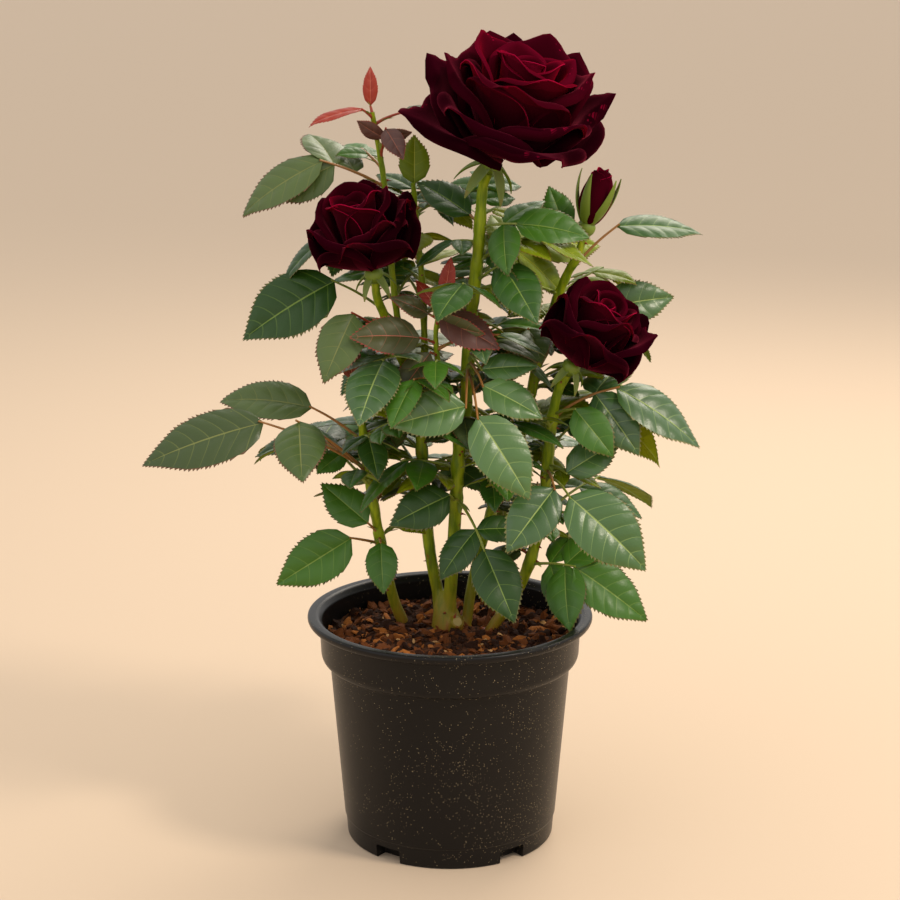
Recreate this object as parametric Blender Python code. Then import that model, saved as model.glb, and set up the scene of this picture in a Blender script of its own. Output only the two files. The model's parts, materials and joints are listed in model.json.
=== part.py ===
"""A rose bush with dark crimson blooms, growing in a black nursery pot.

Metres, +Z up. The pot stands on the plane z = 0, centred on the Z axis.
Bare canes are limbs of their own. Above them each mass of foliage is one fused
body: a shoot with its compound leaves. Every bloom sits on its own calyx.
"""

import math
import random

import bmesh
import bpy
from mathutils import Matrix, Quaternion, Vector
from mathutils.bvhtree import BVHTree

# Clearance between neighbouring solids that touch on the real plant.
GAP = 0.0003
UPRIGHT = Vector((0, 0, 1))

# Pot: a 190 mm nursery pot with a collar, a rolled lip and five notches at its foot.
POT_HEIGHT = 0.154
LIP_RADIUS = 0.095
LIP_WIDTH = 0.0068
LIP_DEPTH = 0.0050
COLLAR_RADIUS = 0.087
COLLAR_DEPTH = 0.0265
BODY_TOP_RADIUS = 0.0805
BODY_FOOT_RADIUS = 0.0700
POT_WALL = 0.0016
POT_FLOOR = 0.0030
POT_SIDES = 40
MOUTH_RADIUS = COLLAR_RADIUS - POT_WALL - 0.001
NOTCH_COUNT = 5
NOTCH_WIDTH = 0.019
NOTCH_HEIGHT = 0.0095
NOTCH_DEPTH = 0.010
SOIL_LEVEL = 0.137

# Crown: the swollen foot that three of the canes rise from.
CROWN_CENTRE = (-0.001, 0.018)
CROWN_FOOT_RADIUS = 0.0085
CROWN_TOP_RADIUS = 0.0125
CROWN_TOP = 0.160

# Flower heads: where the petals stand on the hip, the lean from upright and its bearing.
HEADS = {
    "top": ((0.0270, -0.0055, 0.4550), 26, -52),
    "left": ((-0.0490, -0.0110, 0.3860), 20, -112),
    "right": ((0.0795, -0.0090, 0.3250), 30, -38),
    "bud": ((0.0890, 0.0170, 0.4120), 16, -8),
}
HEAD_OF = {"centre": "top", "back": "left", "right": "right", "bud": "bud"}
HIP_LENGTH = 0.0095
HIP_RADIUS = 0.0062
NECK_LENGTH = 0.0140

# Blooms: length of the outer petals and how far the bloom has opened (1 is wide open).
BLOOMS = {
    "top": dict(size=0.084, open=1.0),
    "left": dict(size=0.056, open=0.35),
    "right": dict(size=0.057, open=0.35),
}
# Rings of petals, outermost first: place from heart (0) to outside (1), then how far up the
# petals the hollow inside the ring lies.
PETAL_RINGS = ((0.88, 0.58), (0.68, 0.62), (0.46, 0.74), (0.24, 0.80))
PETALS_A_RING = 5
SAMPLES_A_PETAL = 6
BUD_LENGTH = 0.035
BUD_RADIUS = 0.0090

# Sepals: length as a share of the bloom's, tilt from upright and bend, open and on the bud.
OPEN_SEPALS = (0.44, 118, 40)
BUD_SEPALS = (1.20, 44, -52)
SEPAL_HALF_WIDTH = 0.13
SEPAL_THICKNESS = 0.035
SEPAL_COUNT = 5

# Routes of the canes and shoots, foot to tip, with the radius at each end. A route that
# carries a flower head runs on to its hip.
ROUTES = {
    "left": (
        [(-0.032, 0.028, 0.137), (-0.039, 0.024, 0.158), (-0.048, 0.015, 0.206),
         (-0.054, 0.008, 0.250), (-0.058, 0.004, 0.284), (-0.062, 0.001, 0.310)],
        (0.0040, 0.0022),
    ),
    "centre": (
        [(0.000, 0.015, 0.160), (0.002, 0.012, 0.190), (0.004, 0.010, 0.228),
         (0.006, 0.008, 0.263), (0.010, 0.006, 0.290), (0.013, 0.004, 0.344),
         (0.018, 0.002, 0.396)],
        (0.0045, 0.0032),
    ),
    "back": (
        [(-0.008, 0.021, 0.160), (-0.014, 0.021, 0.194), (-0.018, 0.022, 0.246),
         (-0.020, 0.022, 0.275), (-0.026, 0.018, 0.305), (-0.036, 0.008, 0.338)],
        (0.0042, 0.0026),
    ),
    "top_left": (
        [(-0.022, 0.022, 0.280), (-0.030, 0.027, 0.313), (-0.038, 0.027, 0.379),
         (-0.043, 0.028, 0.438), (-0.047, 0.026, 0.464), (-0.050, 0.024, 0.482)],
        (0.0026, 0.0013),
    ),
    "upper": (
        [(-0.022, 0.021, 0.284), (-0.017, 0.028, 0.312), (-0.018, 0.032, 0.365),
         (-0.021, 0.032, 0.400), (-0.024, 0.030, 0.436)],
        (0.0026, 0.0015),
    ),
    "red": (
        [(0.006, 0.006, 0.266), (-0.001, -0.003, 0.284), (-0.005, -0.008, 0.303),
         (-0.008, -0.010, 0.327), (-0.009, -0.012, 0.347), (-0.004, -0.013, 0.368)],
        (0.0022, 0.0012),
    ),
    "right": (
        [(0.028, 0.014, 0.137), (0.045, 0.011, 0.165), (0.055, 0.008, 0.192),
         (0.062, 0.005, 0.229), (0.065, 0.002, 0.268), (0.067, 0.000, 0.288)],
        (0.0040, 0.0030),
    ),
    "bud": (
        [(0.011, 0.024, 0.137), (0.015, 0.027, 0.165), (0.022, 0.028, 0.195),
         (0.034, 0.030, 0.234), (0.048, 0.030, 0.270), (0.055, 0.028, 0.302),
         (0.060, 0.026, 0.332), (0.075, 0.022, 0.374)],
        (0.0038, 0.0024),
    ),
}

# Bare limbs: name, route, height where it starts and where it enters its mass.
LIMBS = [
    ("cane_left", "left", SOIL_LEVEL, 0.190),
    ("cane_centre", "centre", CROWN_TOP, 0.216),
    ("cane_back", "back", CROWN_TOP, 0.222),
    ("cane_right", "right", SOIL_LEVEL, 0.180),
    ("cane_bud", "bud", SOIL_LEVEL, 0.205),
]

# Masses of foliage: name, then the stretches of shoot that it holds.
TIP = 1.0
MASSES = [
    ("foliage_left_low", [("left", 0.190, 0.258)]),
    ("foliage_left_top", [("left", 0.258, TIP)]),
    ("foliage_centre_low", [("centre", 0.216, 0.262)]),
    ("foliage_centre_mid", [("centre", 0.262, 0.345), ("red", 0.266, TIP)]),
    ("foliage_centre_top", [("centre", 0.345, TIP)]),
    ("foliage_back_low", [("back", 0.222, 0.268)]),
    ("foliage_back_mid", [("back", 0.268, TIP), ("top_left", 0.280, 0.330), ("upper", 0.284, 0.340)]),
    ("foliage_top_left", [("top_left", 0.330, TIP)]),
    ("foliage_upper", [("upper", 0.340, TIP)]),
    ("foliage_right_low", [("right", 0.180, 0.240)]),
    ("foliage_right_top", [("right", 0.240, TIP)]),
    ("foliage_bud_low", [("bud", 0.205, 0.285)]),
    ("foliage_bud_mid", [("bud", 0.285, 0.350)]),
    ("foliage_bud_top", [("bud", 0.350, TIP)]),
]

# Compound leaves that give the bush its outline. Each row holds the route, the height
# where it leaves the cane, the bearing (0 right, 90 back) and rise of its stalk in degrees,
# the length of the stalk, how far it sags, the pairs of side leaflets, the length of the
# end leaflet, the bearing and rise of that, how far the leaf faces to the front from
# straight up, and its tint.
LEAVES = [
    ("left", 0.196, 220, 22, 0.024, 6, 0, 0.058, 206, -37, 75, "green"),
    ("left", 0.203, 235, 44, 0.013, 6, 0, 0.043, 150, 34, 70, "green"),
    ("left", 0.201, 275, 4, 0.010, 10, 0, 0.035, 275, -58, 66, "green"),
    ("left", 0.249, 202, 36, 0.082, 16, 0, 0.082, 197, -22, 42, "dusky"),
    ("left", 0.252, 208, 38, 0.058, 16, 0, 0.044, 262, -42, 50, "dusky"),
    ("left", 0.268, 190, 44, 0.042, 16, 0, 0.062, 180, 2, 36, "dusky"),
    ("left", 0.288, 300, 47, 0.014, 6, 0, 0.042, 334, 22, 35, "green"),
    ("left", 0.306, 170, 70, 0.003, 0, 0, 0.036, 172, 70, 85, "red"),
    ("left", 0.302, 20, 60, 0.003, 0, 0, 0.026, 30, 64, 80, "bronze"),
    ("top_left", 0.344, 208, 44, 0.056, 20, 0, 0.070, 206, -34, 50, "green"),
    ("back", 0.330, 222, 46, 0.046, 20, 0, 0.050, 240, -56, 62, "dusky"),
    ("top_left", 0.434, 192, 30, 0.044, 14, 2, 0.064, 190, -36, 40, "dusky"),
    ("top_left", 0.478, 219, 40, 0.010, 10, 0, 0.037, 203, -16, 12, "red"),
    ("top_left", 0.481, 170, 76, 0.004, 0, 0, 0.025, 165, 78, 80, "red"),
    ("top_left", 0.474, 20, 30, 0.020, 20, 0, 0.036, 5, -4, 20, "bronze"),
    ("top_left", 0.452, 290, 66, 0.022, 10, 1, 0.026, 300, -45, 60, "bronze"),
    ("upper", 0.428, 80, 82, 0.006, 0, 0, 0.032, 95, 78, 85, "lime"),
    ("upper", 0.416, 20, 30, 0.030, 10, 1, 0.040, 10, 0, 30, "lime"),
    ("red", 0.338, 220, 26, 0.013, 10, 0, 0.046, 200, -6, 55, "bronze"),
    ("red", 0.330, 240, 20, 0.008, 0, 0, 0.038, 218, -54, 55, "bronze"),
    ("red", 0.354, 200, 30, 0.006, 0, 0, 0.028, 195, 12, 40, "bronze"),
    ("red", 0.350, 290, 50, 0.006, 0, 1, 0.044, 333, -26, 50, "bronze"),
    ("red", 0.364, 20, 70, 0.003, 0, 0, 0.026, 10, 68, 85, "red"),
    ("red", 0.358, 150, 60, 0.003, 0, 0, 0.024, 150, 72, 80, "red"),
    ("centre", 0.316, 277, 0, 0.052, 44, 0, 0.062, 316, -54, 56, "glossy"),
    ("centre", 0.320, 268, -2, 0.046, 40, 0, 0.050, 198, -20, 62, "glossy"),
    ("centre", 0.323, 285, 2, 0.034, 34, 0, 0.044, 335, -30, 50, "glossy"),
    ("centre", 0.328, 290, -4, 0.022, 20, 0, 0.036, 350, -2, 50, "glossy"),
    ("right", 0.246, 284, 12, 0.050, 26, 0, 0.068, 328, -44, 60, "glossy"),
    ("right", 0.250, 274, 10, 0.040, 24, 0, 0.052, 222, -50, 62, "glossy"),
    ("right", 0.254, 300, 8, 0.020, 20, 0, 0.042, 10, 20, 58, "glossy"),
    ("centre", 0.230, 296, -16, 0.046, 32, 1, 0.052, 304, -60, 62, "green"),
    ("centre", 0.226, 255, 36, 0.014, 8, 0, 0.045, 211, -26, 60, "green"),
    ("right", 0.184, 323, 16, 0.034, 16, 2, 0.060, 340, -41, 55, "green"),
    ("right", 0.284, 12, 20, 0.034, 16, 0, 0.056, 338, -42, -50, "lime"),
    ("right", 0.288, 305, 30, 0.022, 20, 0, 0.040, 320, -50, 62, "green"),
    ("right", 0.286, 352, 42, 0.046, 30, 1, 0.066, 344, -36, 28, "green"),
    ("bud", 0.384, 110, 60, 0.022, 0, 0, 0.032, 148, 54, 80, "green"),
    ("bud", 0.392, 17, 62, 0.036, 20, 0, 0.058, 2, -18, 16, "green"),
    ("centre", 0.412, 130, 34, 0.008, 6, 0, 0.043, 160, 22, 40, "green"),
    ("centre", 0.410, 330, 20, 0.024, 20, 1, 0.048, 348, -12, 42, "green"),
    ("centre", 0.374, 317, 42, 0.026, 20, 1, 0.050, 317, -46, 60, "green"),
    ("bud", 0.332, 14, 34, 0.046, 16, 0, 0.050, 0, 0, 66, "glossy"),
    ("centre", 0.378, 40, 30, 0.046, 20, 2, 0.058, 22, -8, 50, "lime"),
    ("back", 0.240, 118, 32, 0.078, 22, 2, 0.062, 118, -30, None, "green"),
    ("bud", 0.232, 74, 30, 0.070, 22, 2, 0.062, 70, -30, None, "glossy"),
    ("left", 0.236, 132, 34, 0.070, 22, 2, 0.060, 136, -28, None, "green"),
    ("right", 0.216, 46, 28, 0.060, 22, 1, 0.060, 40, -30, None, "green"),
    ("back", 0.300, 96, 36, 0.070, 26, 2, 0.060, 92, -24, None, "dusky"),
    ("bud", 0.308, 62, 36, 0.062, 24, 2, 0.060, 58, -24, None, "green"),
    ("upper", 0.356, 112, 34, 0.056, 26, 2, 0.058, 116, -20, None, "glossy"),
    ("centre", 0.366, 76, 30, 0.064, 26, 2, 0.056, 72, -20, None, "green"),
    ("upper", 0.410, 84, 34, 0.040, 26, 1, 0.054, 80, -14, None, "lime"),
    ("top_left", 0.400, 120, 34, 0.040, 26, 1, 0.052, 126, -16, None, "green"),
]

# Leaves that fill the bush inside and behind: route, lowest and highest leaf, how many,
# the bearing of the first, and the length of the end leaflet.
FILLERS = [
    ("left", 0.212, 0.284, 3, 60, 0.052),
    ("centre", 0.240, 0.340, 5, 190, 0.046),
    ("back", 0.232, 0.350, 7, 20, 0.052),
    ("top_left", 0.345, 0.440, 3, 60, 0.046),
    ("upper", 0.345, 0.425, 3, 0, 0.046),
    ("right", 0.200, 0.276, 3, 90, 0.052),
    ("bud", 0.215, 0.372, 8, 130, 0.052),
    ("centre", 0.350, 0.425, 3, 200, 0.044),
    ("red", 0.300, 0.345, 2, 240, 0.036),
]
GOLDEN_ANGLE = 137.5
FILLER_SEED = 11

# Leaflet shape, as shares of its length, and its fold along the midrib.
LEAF_HALF_WIDTH = 0.285
LEAF_THICKNESS = 0.016
LEAF_FOLD = math.radians(12)
LEAF_BEND = math.radians(24)
LONG_LEAF = 0.045
LONG_LEAF_ROWS = (0.0, 0.30, 0.68)
SHORT_LEAF_ROWS = (0.0, 0.42)
STALK_RADIUS = 0.0012
STALK_STEPS = 3
SIDE_LEAF_SHARE = (0.76, 0.60)
SIDE_LEAF_ANGLE = 68
PAIR_PLACES = {0: (), 1: (0.66,), 2: (0.78, 0.46)}
FILLER_FACE = 22
CLEAR_OF_LEAF = 0.0012

# Ways in which a leaflet turns aside from what it meets, as yaw and pitch in degrees,
# and bearings that a filling leaf may be shifted by.
TURNS = [(0, 0), (0, 10), (0, -10), (12, 0), (-12, 0), (12, 12), (-12, 12), (12, -14), (-12, -14),
         (25, 0), (-25, 0), (0, 24), (0, -26), (25, 18), (-25, 18), (35, -20), (-35, -20)]
SHIFTS = (0, 30, -30, 60, -60, 95, -95, 140, 180)


def clear_scene():
    for obj in list(bpy.data.objects):
        bpy.data.objects.remove(obj, do_unlink=True)


def material(name, colour, roughness):
    made = bpy.data.materials.new(name)
    made.use_nodes = True
    shader = made.node_tree.nodes["Principled BSDF"]
    shader.inputs["Base Color"].default_value = (*colour, 1.0)
    shader.inputs["Roughness"].default_value = roughness
    return made


def solid(name, shape, finish=None):
    """An object from a list of points and a list of faces."""
    mesh = bpy.data.meshes.new(name)
    mesh.from_pydata([tuple(point) for point in shape[0]], [], shape[1])
    mesh.validate()
    if finish:
        mesh.materials.append(finish)
    made = bpy.data.objects.new(name, mesh)
    bpy.context.scene.collection.objects.link(made)
    return made


def turned(profile, sides):
    """A closed turned shape. The profile runs from the axis, down to up outside, back to the axis."""
    points, faces, rings = [], [], []
    for radius, height in profile:
        if radius == 0:
            rings.append([len(points)] * sides)
            points.append(Vector((0, 0, height)))
            continue
        rings.append([len(points) + side for side in range(sides)])
        for side in range(sides):
            angle = 2 * math.pi * side / sides
            points.append(Vector((radius * math.cos(angle), radius * math.sin(angle), height)))
    for low, high in zip(rings, rings[1:]):
        for side in range(sides):
            after = (side + 1) % sides
            corners = [low[side], low[after], high[after], high[side]]
            faces.append(list(dict.fromkeys(corners)))
    return points, faces


def moved(shape, matrix):
    return [matrix @ point for point in shape[0]], shape[1]


def head_matrix(name):
    """Puts +Z along the axis of a flower head, with the foot of the petals at zero."""
    foot, lean, bearing = HEADS[name]
    turn = Matrix.Rotation(math.radians(bearing), 4, "Z")
    tip = Matrix.Rotation(math.radians(lean), 4, "Y")
    return Matrix.Translation(foot) @ turn @ tip @ turn.inverted()


def tube(points, radii, ways, sides):
    """A closed tapering tube. Each ring faces its own way and is carried on without twisting."""
    verts, faces = [], []
    across = ways[0].orthogonal().normalized()
    for point, radius, way in zip(points, radii, ways):
        across = (across - way * across.dot(way)).normalized()
        up = way.cross(across)
        for side in range(sides):
            angle = 2 * math.pi * side / sides
            verts.append(point + radius * (math.cos(angle) * across + math.sin(angle) * up))
    for ring in range(len(points) - 1):
        for side in range(sides):
            low = ring * sides + side
            low_next = ring * sides + (side + 1) % sides
            faces.append([low, low_next, low_next + sides, low + sides])
    faces.append(list(range(sides))[::-1])
    faces.append([(len(points) - 1) * sides + side for side in range(sides)])
    return verts, faces


def ways_along(points):
    """The way that each point of a line faces: along the line on both sides of it."""
    last = len(points) - 1
    return [(points[min(index + 1, last)] - points[max(index - 1, 0)]).normalized()
            for index in range(last + 1)]


def route_marks(name):
    """The marks of a route, with the neck and the foot of the hip where it carries a head."""
    marks = [Vector(mark) for mark in ROUTES[name][0]]
    if name in HEAD_OF:
        matrix = head_matrix(HEAD_OF[name])
        marks.append(matrix @ Vector((0, 0, -HIP_LENGTH - NECK_LENGTH)))
        marks.append(matrix @ Vector((0, 0, -HIP_LENGTH - GAP)))
    return marks


def smooth_route(name):
    """Points every few millimetres on a smooth curve through a route, with the radius at each."""
    marks = route_marks(name)
    foot_radius, tip_radius = ROUTES[name][1]
    marks = [2 * marks[0] - marks[1]] + marks + [2 * marks[-1] - marks[-2]]
    points = []
    for a, b, c, d in zip(marks, marks[1:], marks[2:], marks[3:]):
        for step in range(6):
            t = step / 6
            bend = (2 * a - 5 * b + 4 * c - d) * t**2 + (3 * b - 3 * c + d - a) * t**3
            points.append(0.5 * (2 * b + (c - a) * t + bend))
    points.append(marks[-2])
    last = len(points) - 1
    radii = [foot_radius + (tip_radius - foot_radius) * index / last for index in range(last + 1)]
    return points, radii


def at_height(name, height):
    """Point, direction and radius of a route where it passes a height."""
    points, radii = smooth_route(name)
    for index in range(len(points) - 1):
        low, high = points[index], points[index + 1]
        if height <= high.z or index == len(points) - 2:
            share = (height - low.z) / (high.z - low.z)
            radius = radii[index] + (radii[index + 1] - radii[index]) * share
            return low + (high - low) * share, (high - low).normalized(), radius


def stretch(name, start, end, spacing=0.014):
    """The part of a route between two heights, as points, radii and ways for a tube."""
    end = min(end, route_marks(name)[-1].z)
    count = max(2, round((end - start) / spacing) + 1)
    heights = [start + (end - start) * index / (count - 1) for index in range(count)]
    found = [at_height(name, height) for height in heights]
    ways = [entry[1] for entry in found]
    if start == ROUTES[name][0][0][2]:
        # The foot of a cane is cut level.
        ways[0] = UPRIGHT
    return [entry[0] for entry in found], [entry[2] for entry in found], ways


class Leaflet:
    """One blade: where its root is, the way it points, its upper side, and its length."""

    def __init__(self, root, along, up, length, bend=LEAF_BEND, width=LEAF_HALF_WIDTH):
        self.root = root
        self.along = along.normalized()
        self.up = (up - self.along * up.dot(self.along)).normalized()
        self.length = length
        self.bend = bend
        self.width = width

    def turned_aside(self, yaw, pitch):
        turn = Quaternion(self.up, math.radians(yaw))
        along = turn @ self.along
        lift = Quaternion(along.cross(self.up), math.radians(pitch))
        return Leaflet(self.root, lift @ along, lift @ self.up, self.length, self.bend, self.width)

    def half_width(self, t):
        """Half the width of the blade: round at the root, drawn out at the tip."""
        share = math.sin(math.pi * t**0.80) ** 0.85 if 0 < t < 1 else 0.0
        return self.length * self.width * (share + 0.03 * (1 - t))

    def point(self, t, s, below=0.0):
        """A point on the blade: t from root to tip, s from one edge to the other."""
        angle = self.bend * t
        run = self.length * math.sin(angle) / self.bend
        fall = self.length * (1 - math.cos(angle)) / self.bend
        up = self.up * math.cos(angle) + self.along * math.sin(angle)
        side = self.along.cross(self.up)
        half = self.half_width(t)
        return (self.root + self.along * run - self.up * fall + side * (s * half * math.cos(LEAF_FOLD))
                + up * (abs(s) * half * math.sin(LEAF_FOLD) - below))


def blade_rows(leaf):
    return LONG_LEAF_ROWS if leaf.length > LONG_LEAF else SHORT_LEAF_ROWS


def leaf_solid(leaf, thickness, rows):
    """A blade with a thick midrib and thin edges: two edges, an upper and a lower midrib."""
    verts, faces = [], []
    deep = thickness * leaf.length
    for t in rows:
        sunk = deep / 2 if t == 0 else 0
        verts += [leaf.point(t, -1, sunk), leaf.point(t, 0), leaf.point(t, 1, sunk), leaf.point(t, 0, deep)]
    verts.append(leaf.point(1, 0))
    tip = len(verts) - 1
    for row in range(len(rows) - 1):
        for corner in range(4):
            a = 4 * row + corner
            b = 4 * row + (corner + 1) % 4
            faces.append([a, b, b + 4, a + 4])
    last = tip - 4
    for corner in range(4):
        faces.append([last + corner, last + (corner + 1) % 4, tip])
    faces.append([3, 2, 1, 0])
    return verts, faces


def heading(bearing, rise):
    level = math.cos(math.radians(rise))
    turn = math.radians(bearing)
    return Vector((level * math.cos(turn), level * math.sin(turn), math.sin(math.radians(rise))))


def grow_leaf(row, rng):
    """The stalk and leaflets of one compound leaf, from a row of LEAVES."""
    route, height, bearing, rise, stalk, sag, pairs, size, blade_bearing, blade_rise, face, tint = row
    foot, _, radius = at_height(route, height)
    front = -90 if face is not None else bearing
    facing = heading(front, 90 - (face if face is not None else FILLER_FACE))
    points = [foot.copy()]
    for step in range(STALK_STEPS):
        ahead = heading(bearing, rise - sag * (step + 0.5) / STALK_STEPS)
        points.append(points[-1] + ahead * (stalk + radius) / STALK_STEPS)

    def on_stalk(share):
        place = share * STALK_STEPS
        index = min(int(place), STALK_STEPS - 1)
        return points[index].lerp(points[index + 1], place - index)

    along = heading(blade_bearing, blade_rise + math.degrees(LEAF_BEND) / 2)
    leaflets = [Leaflet(on_stalk(0.96), along, facing, size)]
    for order, place in enumerate(PAIR_PLACES[pairs]):
        ahead = heading(bearing, rise - sag * place)
        up = (facing - ahead * facing.dot(ahead)).normalized()
        for side in (1, -1):
            length = size * SIDE_LEAF_SHARE[min(order, 1)] * rng.uniform(0.9, 1.06)
            swing = Quaternion(up, math.radians(side * (SIDE_LEAF_ANGLE + rng.uniform(-8, 8))))
            sideways = swing @ ahead
            drop = Quaternion(sideways.cross(up), math.radians(-rng.uniform(2, 16)))
            leaflets.append(Leaflet(on_stalk(place), drop @ sideways, drop @ up, length))
    return points, leaflets


def filler_rows(rng):
    """Rows like those of LEAVES, spread round their canes by the golden angle."""
    rows = []
    for route, low, high, count, bearing, size in FILLERS:
        for index in range(count):
            share = (index + 0.5) / count
            turn = bearing + GOLDEN_ANGLE * index
            rise = rng.uniform(20, 50)
            stalk = rng.uniform(0.028, 0.046)
            sag = rng.uniform(15, 35)
            pairs = rng.choice((1, 2, 2))
            length = size * rng.uniform(0.85, 1.1)
            blade_turn = turn + rng.uniform(-15, 15)
            blade_rise = rise - rng.uniform(45, 70)
            tint = rng.choice(("green", "green", "lime", "glossy"))
            rows.append((route, low + (high - low) * share, turn, rise, stalk, sag, pairs, length,
                         blade_turn, blade_rise, None, tint))
    return rows


def shape_tree(shape):
    return BVHTree.FromPolygons(shape[0], shape[1])


def room_solids():
    """What the leaves keep clear of: the canes, the pot's rim, the blooms and their sepals."""
    owned = [(limb, [(route, start, end)]) for limb, route, start, end in LIMBS] + MASSES
    trees = []
    for owner, stretches in owned:
        for route, start, end in stretches:
            points, radii, ways = stretch(route, start, end)
            radii = [radius + CLEAR_OF_LEAF for radius in radii]
            trees.append((owner, shape_tree(tube(points, radii, ways, 8))))
    mouth = COLLAR_RADIUS - POT_WALL
    rim = turned([(0, 0), (LIP_RADIUS, 0.0), (LIP_RADIUS, POT_HEIGHT), (mouth, POT_HEIGHT),
                  (mouth, SOIL_LEVEL), (0, SOIL_LEVEL)], 40)
    trees.append(("pot", shape_tree(rim)))
    for route, name in HEAD_OF.items():
        trees.append((mass_of(route, route_marks(route)[-1].z), shape_tree(head_room(name))))
        for sepal in sepals(name):
            thick = SEPAL_THICKNESS + 2 * CLEAR_OF_LEAF / sepal.length
            trees.append(("sepal", shape_tree(leaf_solid(sepal, thick, SHORT_LEAF_ROWS))))
    return trees


def head_room(name):
    """A plain closed outline round a flower head and its hip."""
    if name == "bud":
        wide, tall, low = BUD_RADIUS + 0.002, BUD_LENGTH, 0.3
    else:
        size, opened = BLOOMS[name]["size"], BLOOMS[name]["open"]
        wide, tall, low = size * (0.66 + 0.28 * opened), size, 0.4
    profile = [(0, -0.010), (0.007, -0.009), (0.010, 0.0), (wide, tall * low),
               (wide, tall * 0.85), (0, tall * 1.15)]
    return moved(turned(profile, 16), head_matrix(name))


def mass_of(route, height):
    for name, stretches in MASSES:
        for held, start, end in stretches:
            if held == route and start <= height < end:
                return name
    return None


def place_leaf(row, rng, taken):
    """Grows a leaf clear of what is already there. Gives None where its stalk has no room."""
    points, leaflets = grow_leaf(row, rng)
    mass = mass_of(row[0], row[1])
    thick = [STALK_RADIUS + CLEAR_OF_LEAF] * len(points)
    stalk = shape_tree(tube(points, thick, ways_along(points), 5))
    if any(tree.overlap(stalk) for owner, tree in taken if owner != mass):
        return None
    kept, trees = [], [(mass, stalk)]
    for leaf in leaflets:
        for yaw, pitch in TURNS:
            tried = leaf.turned_aside(yaw, pitch)
            # The test blade starts off the stalk and is thicker than the blade by the clearance.
            root = tried.root + tried.up * CLEAR_OF_LEAF
            ahead = Leaflet(root, tried.along, tried.up, tried.length * 1.01)
            thick = LEAF_THICKNESS + 2 * CLEAR_OF_LEAF / tried.length
            tree = shape_tree(leaf_solid(ahead, thick, (0.08, *blade_rows(tried)[1:])))
            if not any(other.overlap(tree) for _, other in taken):
                kept.append(tried)
                trees.append((mass, tree))
                break
    return points, kept, trees, len(leaflets)


def plan_foliage():
    """Every compound leaf, mass by mass. A leaflet that meets something turns aside, or is left out."""
    rng = random.Random(FILLER_SEED)
    taken = room_solids()
    plan = {name: [] for name, _ in MASSES}
    rows = [(row, (0,)) for row in LEAVES] + [(row, SHIFTS) for row in filler_rows(rng)]
    for row, shifts in rows:
        best = None
        for shift in shifts:
            shifted = (*row[:2], row[2] + shift, *row[3:8], row[8] + shift, *row[9:])
            found = place_leaf(shifted, rng, taken)
            if found and (best is None or len(found[1]) > len(best[1])):
                best = found
            if best and len(best[1]) == best[3]:
                break
        if best and best[1]:
            taken += best[2]
            plan[mass_of(row[0], row[1])].append((row, best[0], best[1]))
    return plan


def petal_profile(bloom, u, length, steps=12):
    """Centre line of a petal: radius, height and outward tilt at even steps from foot to tip."""
    opened = bloom["open"]
    foot_tilt = 24 + (38 + 10 * opened) * u
    mid_tilt = -3 + (14 + 50 * opened) * u**1.4
    tip_tilt = -20 + (70 + 36 * opened) * u**1.1
    radius, height = bloom["size"] * 0.03, 0.0
    line = []
    for step in range(steps + 1):
        t = step / steps
        if t < 0.5:
            blend = (1 - math.cos(math.pi * t / 0.5)) / 2
            tilt = foot_tilt + (mid_tilt - foot_tilt) * blend
        else:
            blend = (1 - math.cos(math.pi * (t - 0.5) / 0.5)) / 2
            tilt = mid_tilt + (tip_tilt - mid_tilt) * blend
        tilt = math.radians(tilt)
        line.append((radius, height, tilt))
        radius += length / steps * math.sin(tilt)
        height += length / steps * math.cos(tilt)
    return line


def petal_point(bloom, u, s, t, line, length):
    """A point of a petal. u is 0 at the heart and 1 outside, s runs across it and t up it."""
    widest = bloom["size"] * (0.30 + 0.24 * u)
    if t < 0.62:
        half = widest * (0.24 + 0.76 * math.sin(0.5 * math.pi * t / 0.62))
    else:
        half = widest * (1 - 0.20 * ((t - 0.62) / 0.38) ** 2)
    x = s * half
    y = length * t * (1 - 0.14 * s * s * t)
    y += 0.05 * length * t**5 * math.exp(-((s / 0.14) ** 2))
    # The upper margins roll back about two lines that meet at the tip.
    slope = math.radians(30 + 16 * u)
    beyond = (y - length) * math.cos(slope) + abs(x) * math.sin(slope)
    curl = bloom["size"] * (0.13 - 0.07 * u)
    back = 0.0
    if beyond > 0:
        turn = min(beyond / curl, 2.9)
        pulled = beyond - curl * math.sin(turn)
        back = curl * (1 - math.cos(turn)) * min(1.0, 0.25 + u)
        x -= math.copysign(pulled * math.sin(slope), x)
        y -= pulled * math.cos(slope)
    place = max(0.0, min(y / length, 1.0)) * (len(line) - 1)
    index = min(int(place), len(line) - 2)
    share = place - index
    radius, height, tilt = [a + (b - a) * share for a, b in zip(line[index], line[index + 1])]
    hug = bloom["size"] * (0.17 + 0.50 * u**1.4)
    angle = x / hug
    sideways = hug * math.sin(angle)
    inward = hug * (1 - math.cos(angle))
    outward = back + 0.10 * x * (1 - u)
    out = Vector((math.cos(tilt), 0, -math.sin(tilt)))
    normal = out * math.cos(angle) + Vector((0, math.sin(angle), 0))
    return Vector((radius, sideways, height)) - out * inward + normal * outward


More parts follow.
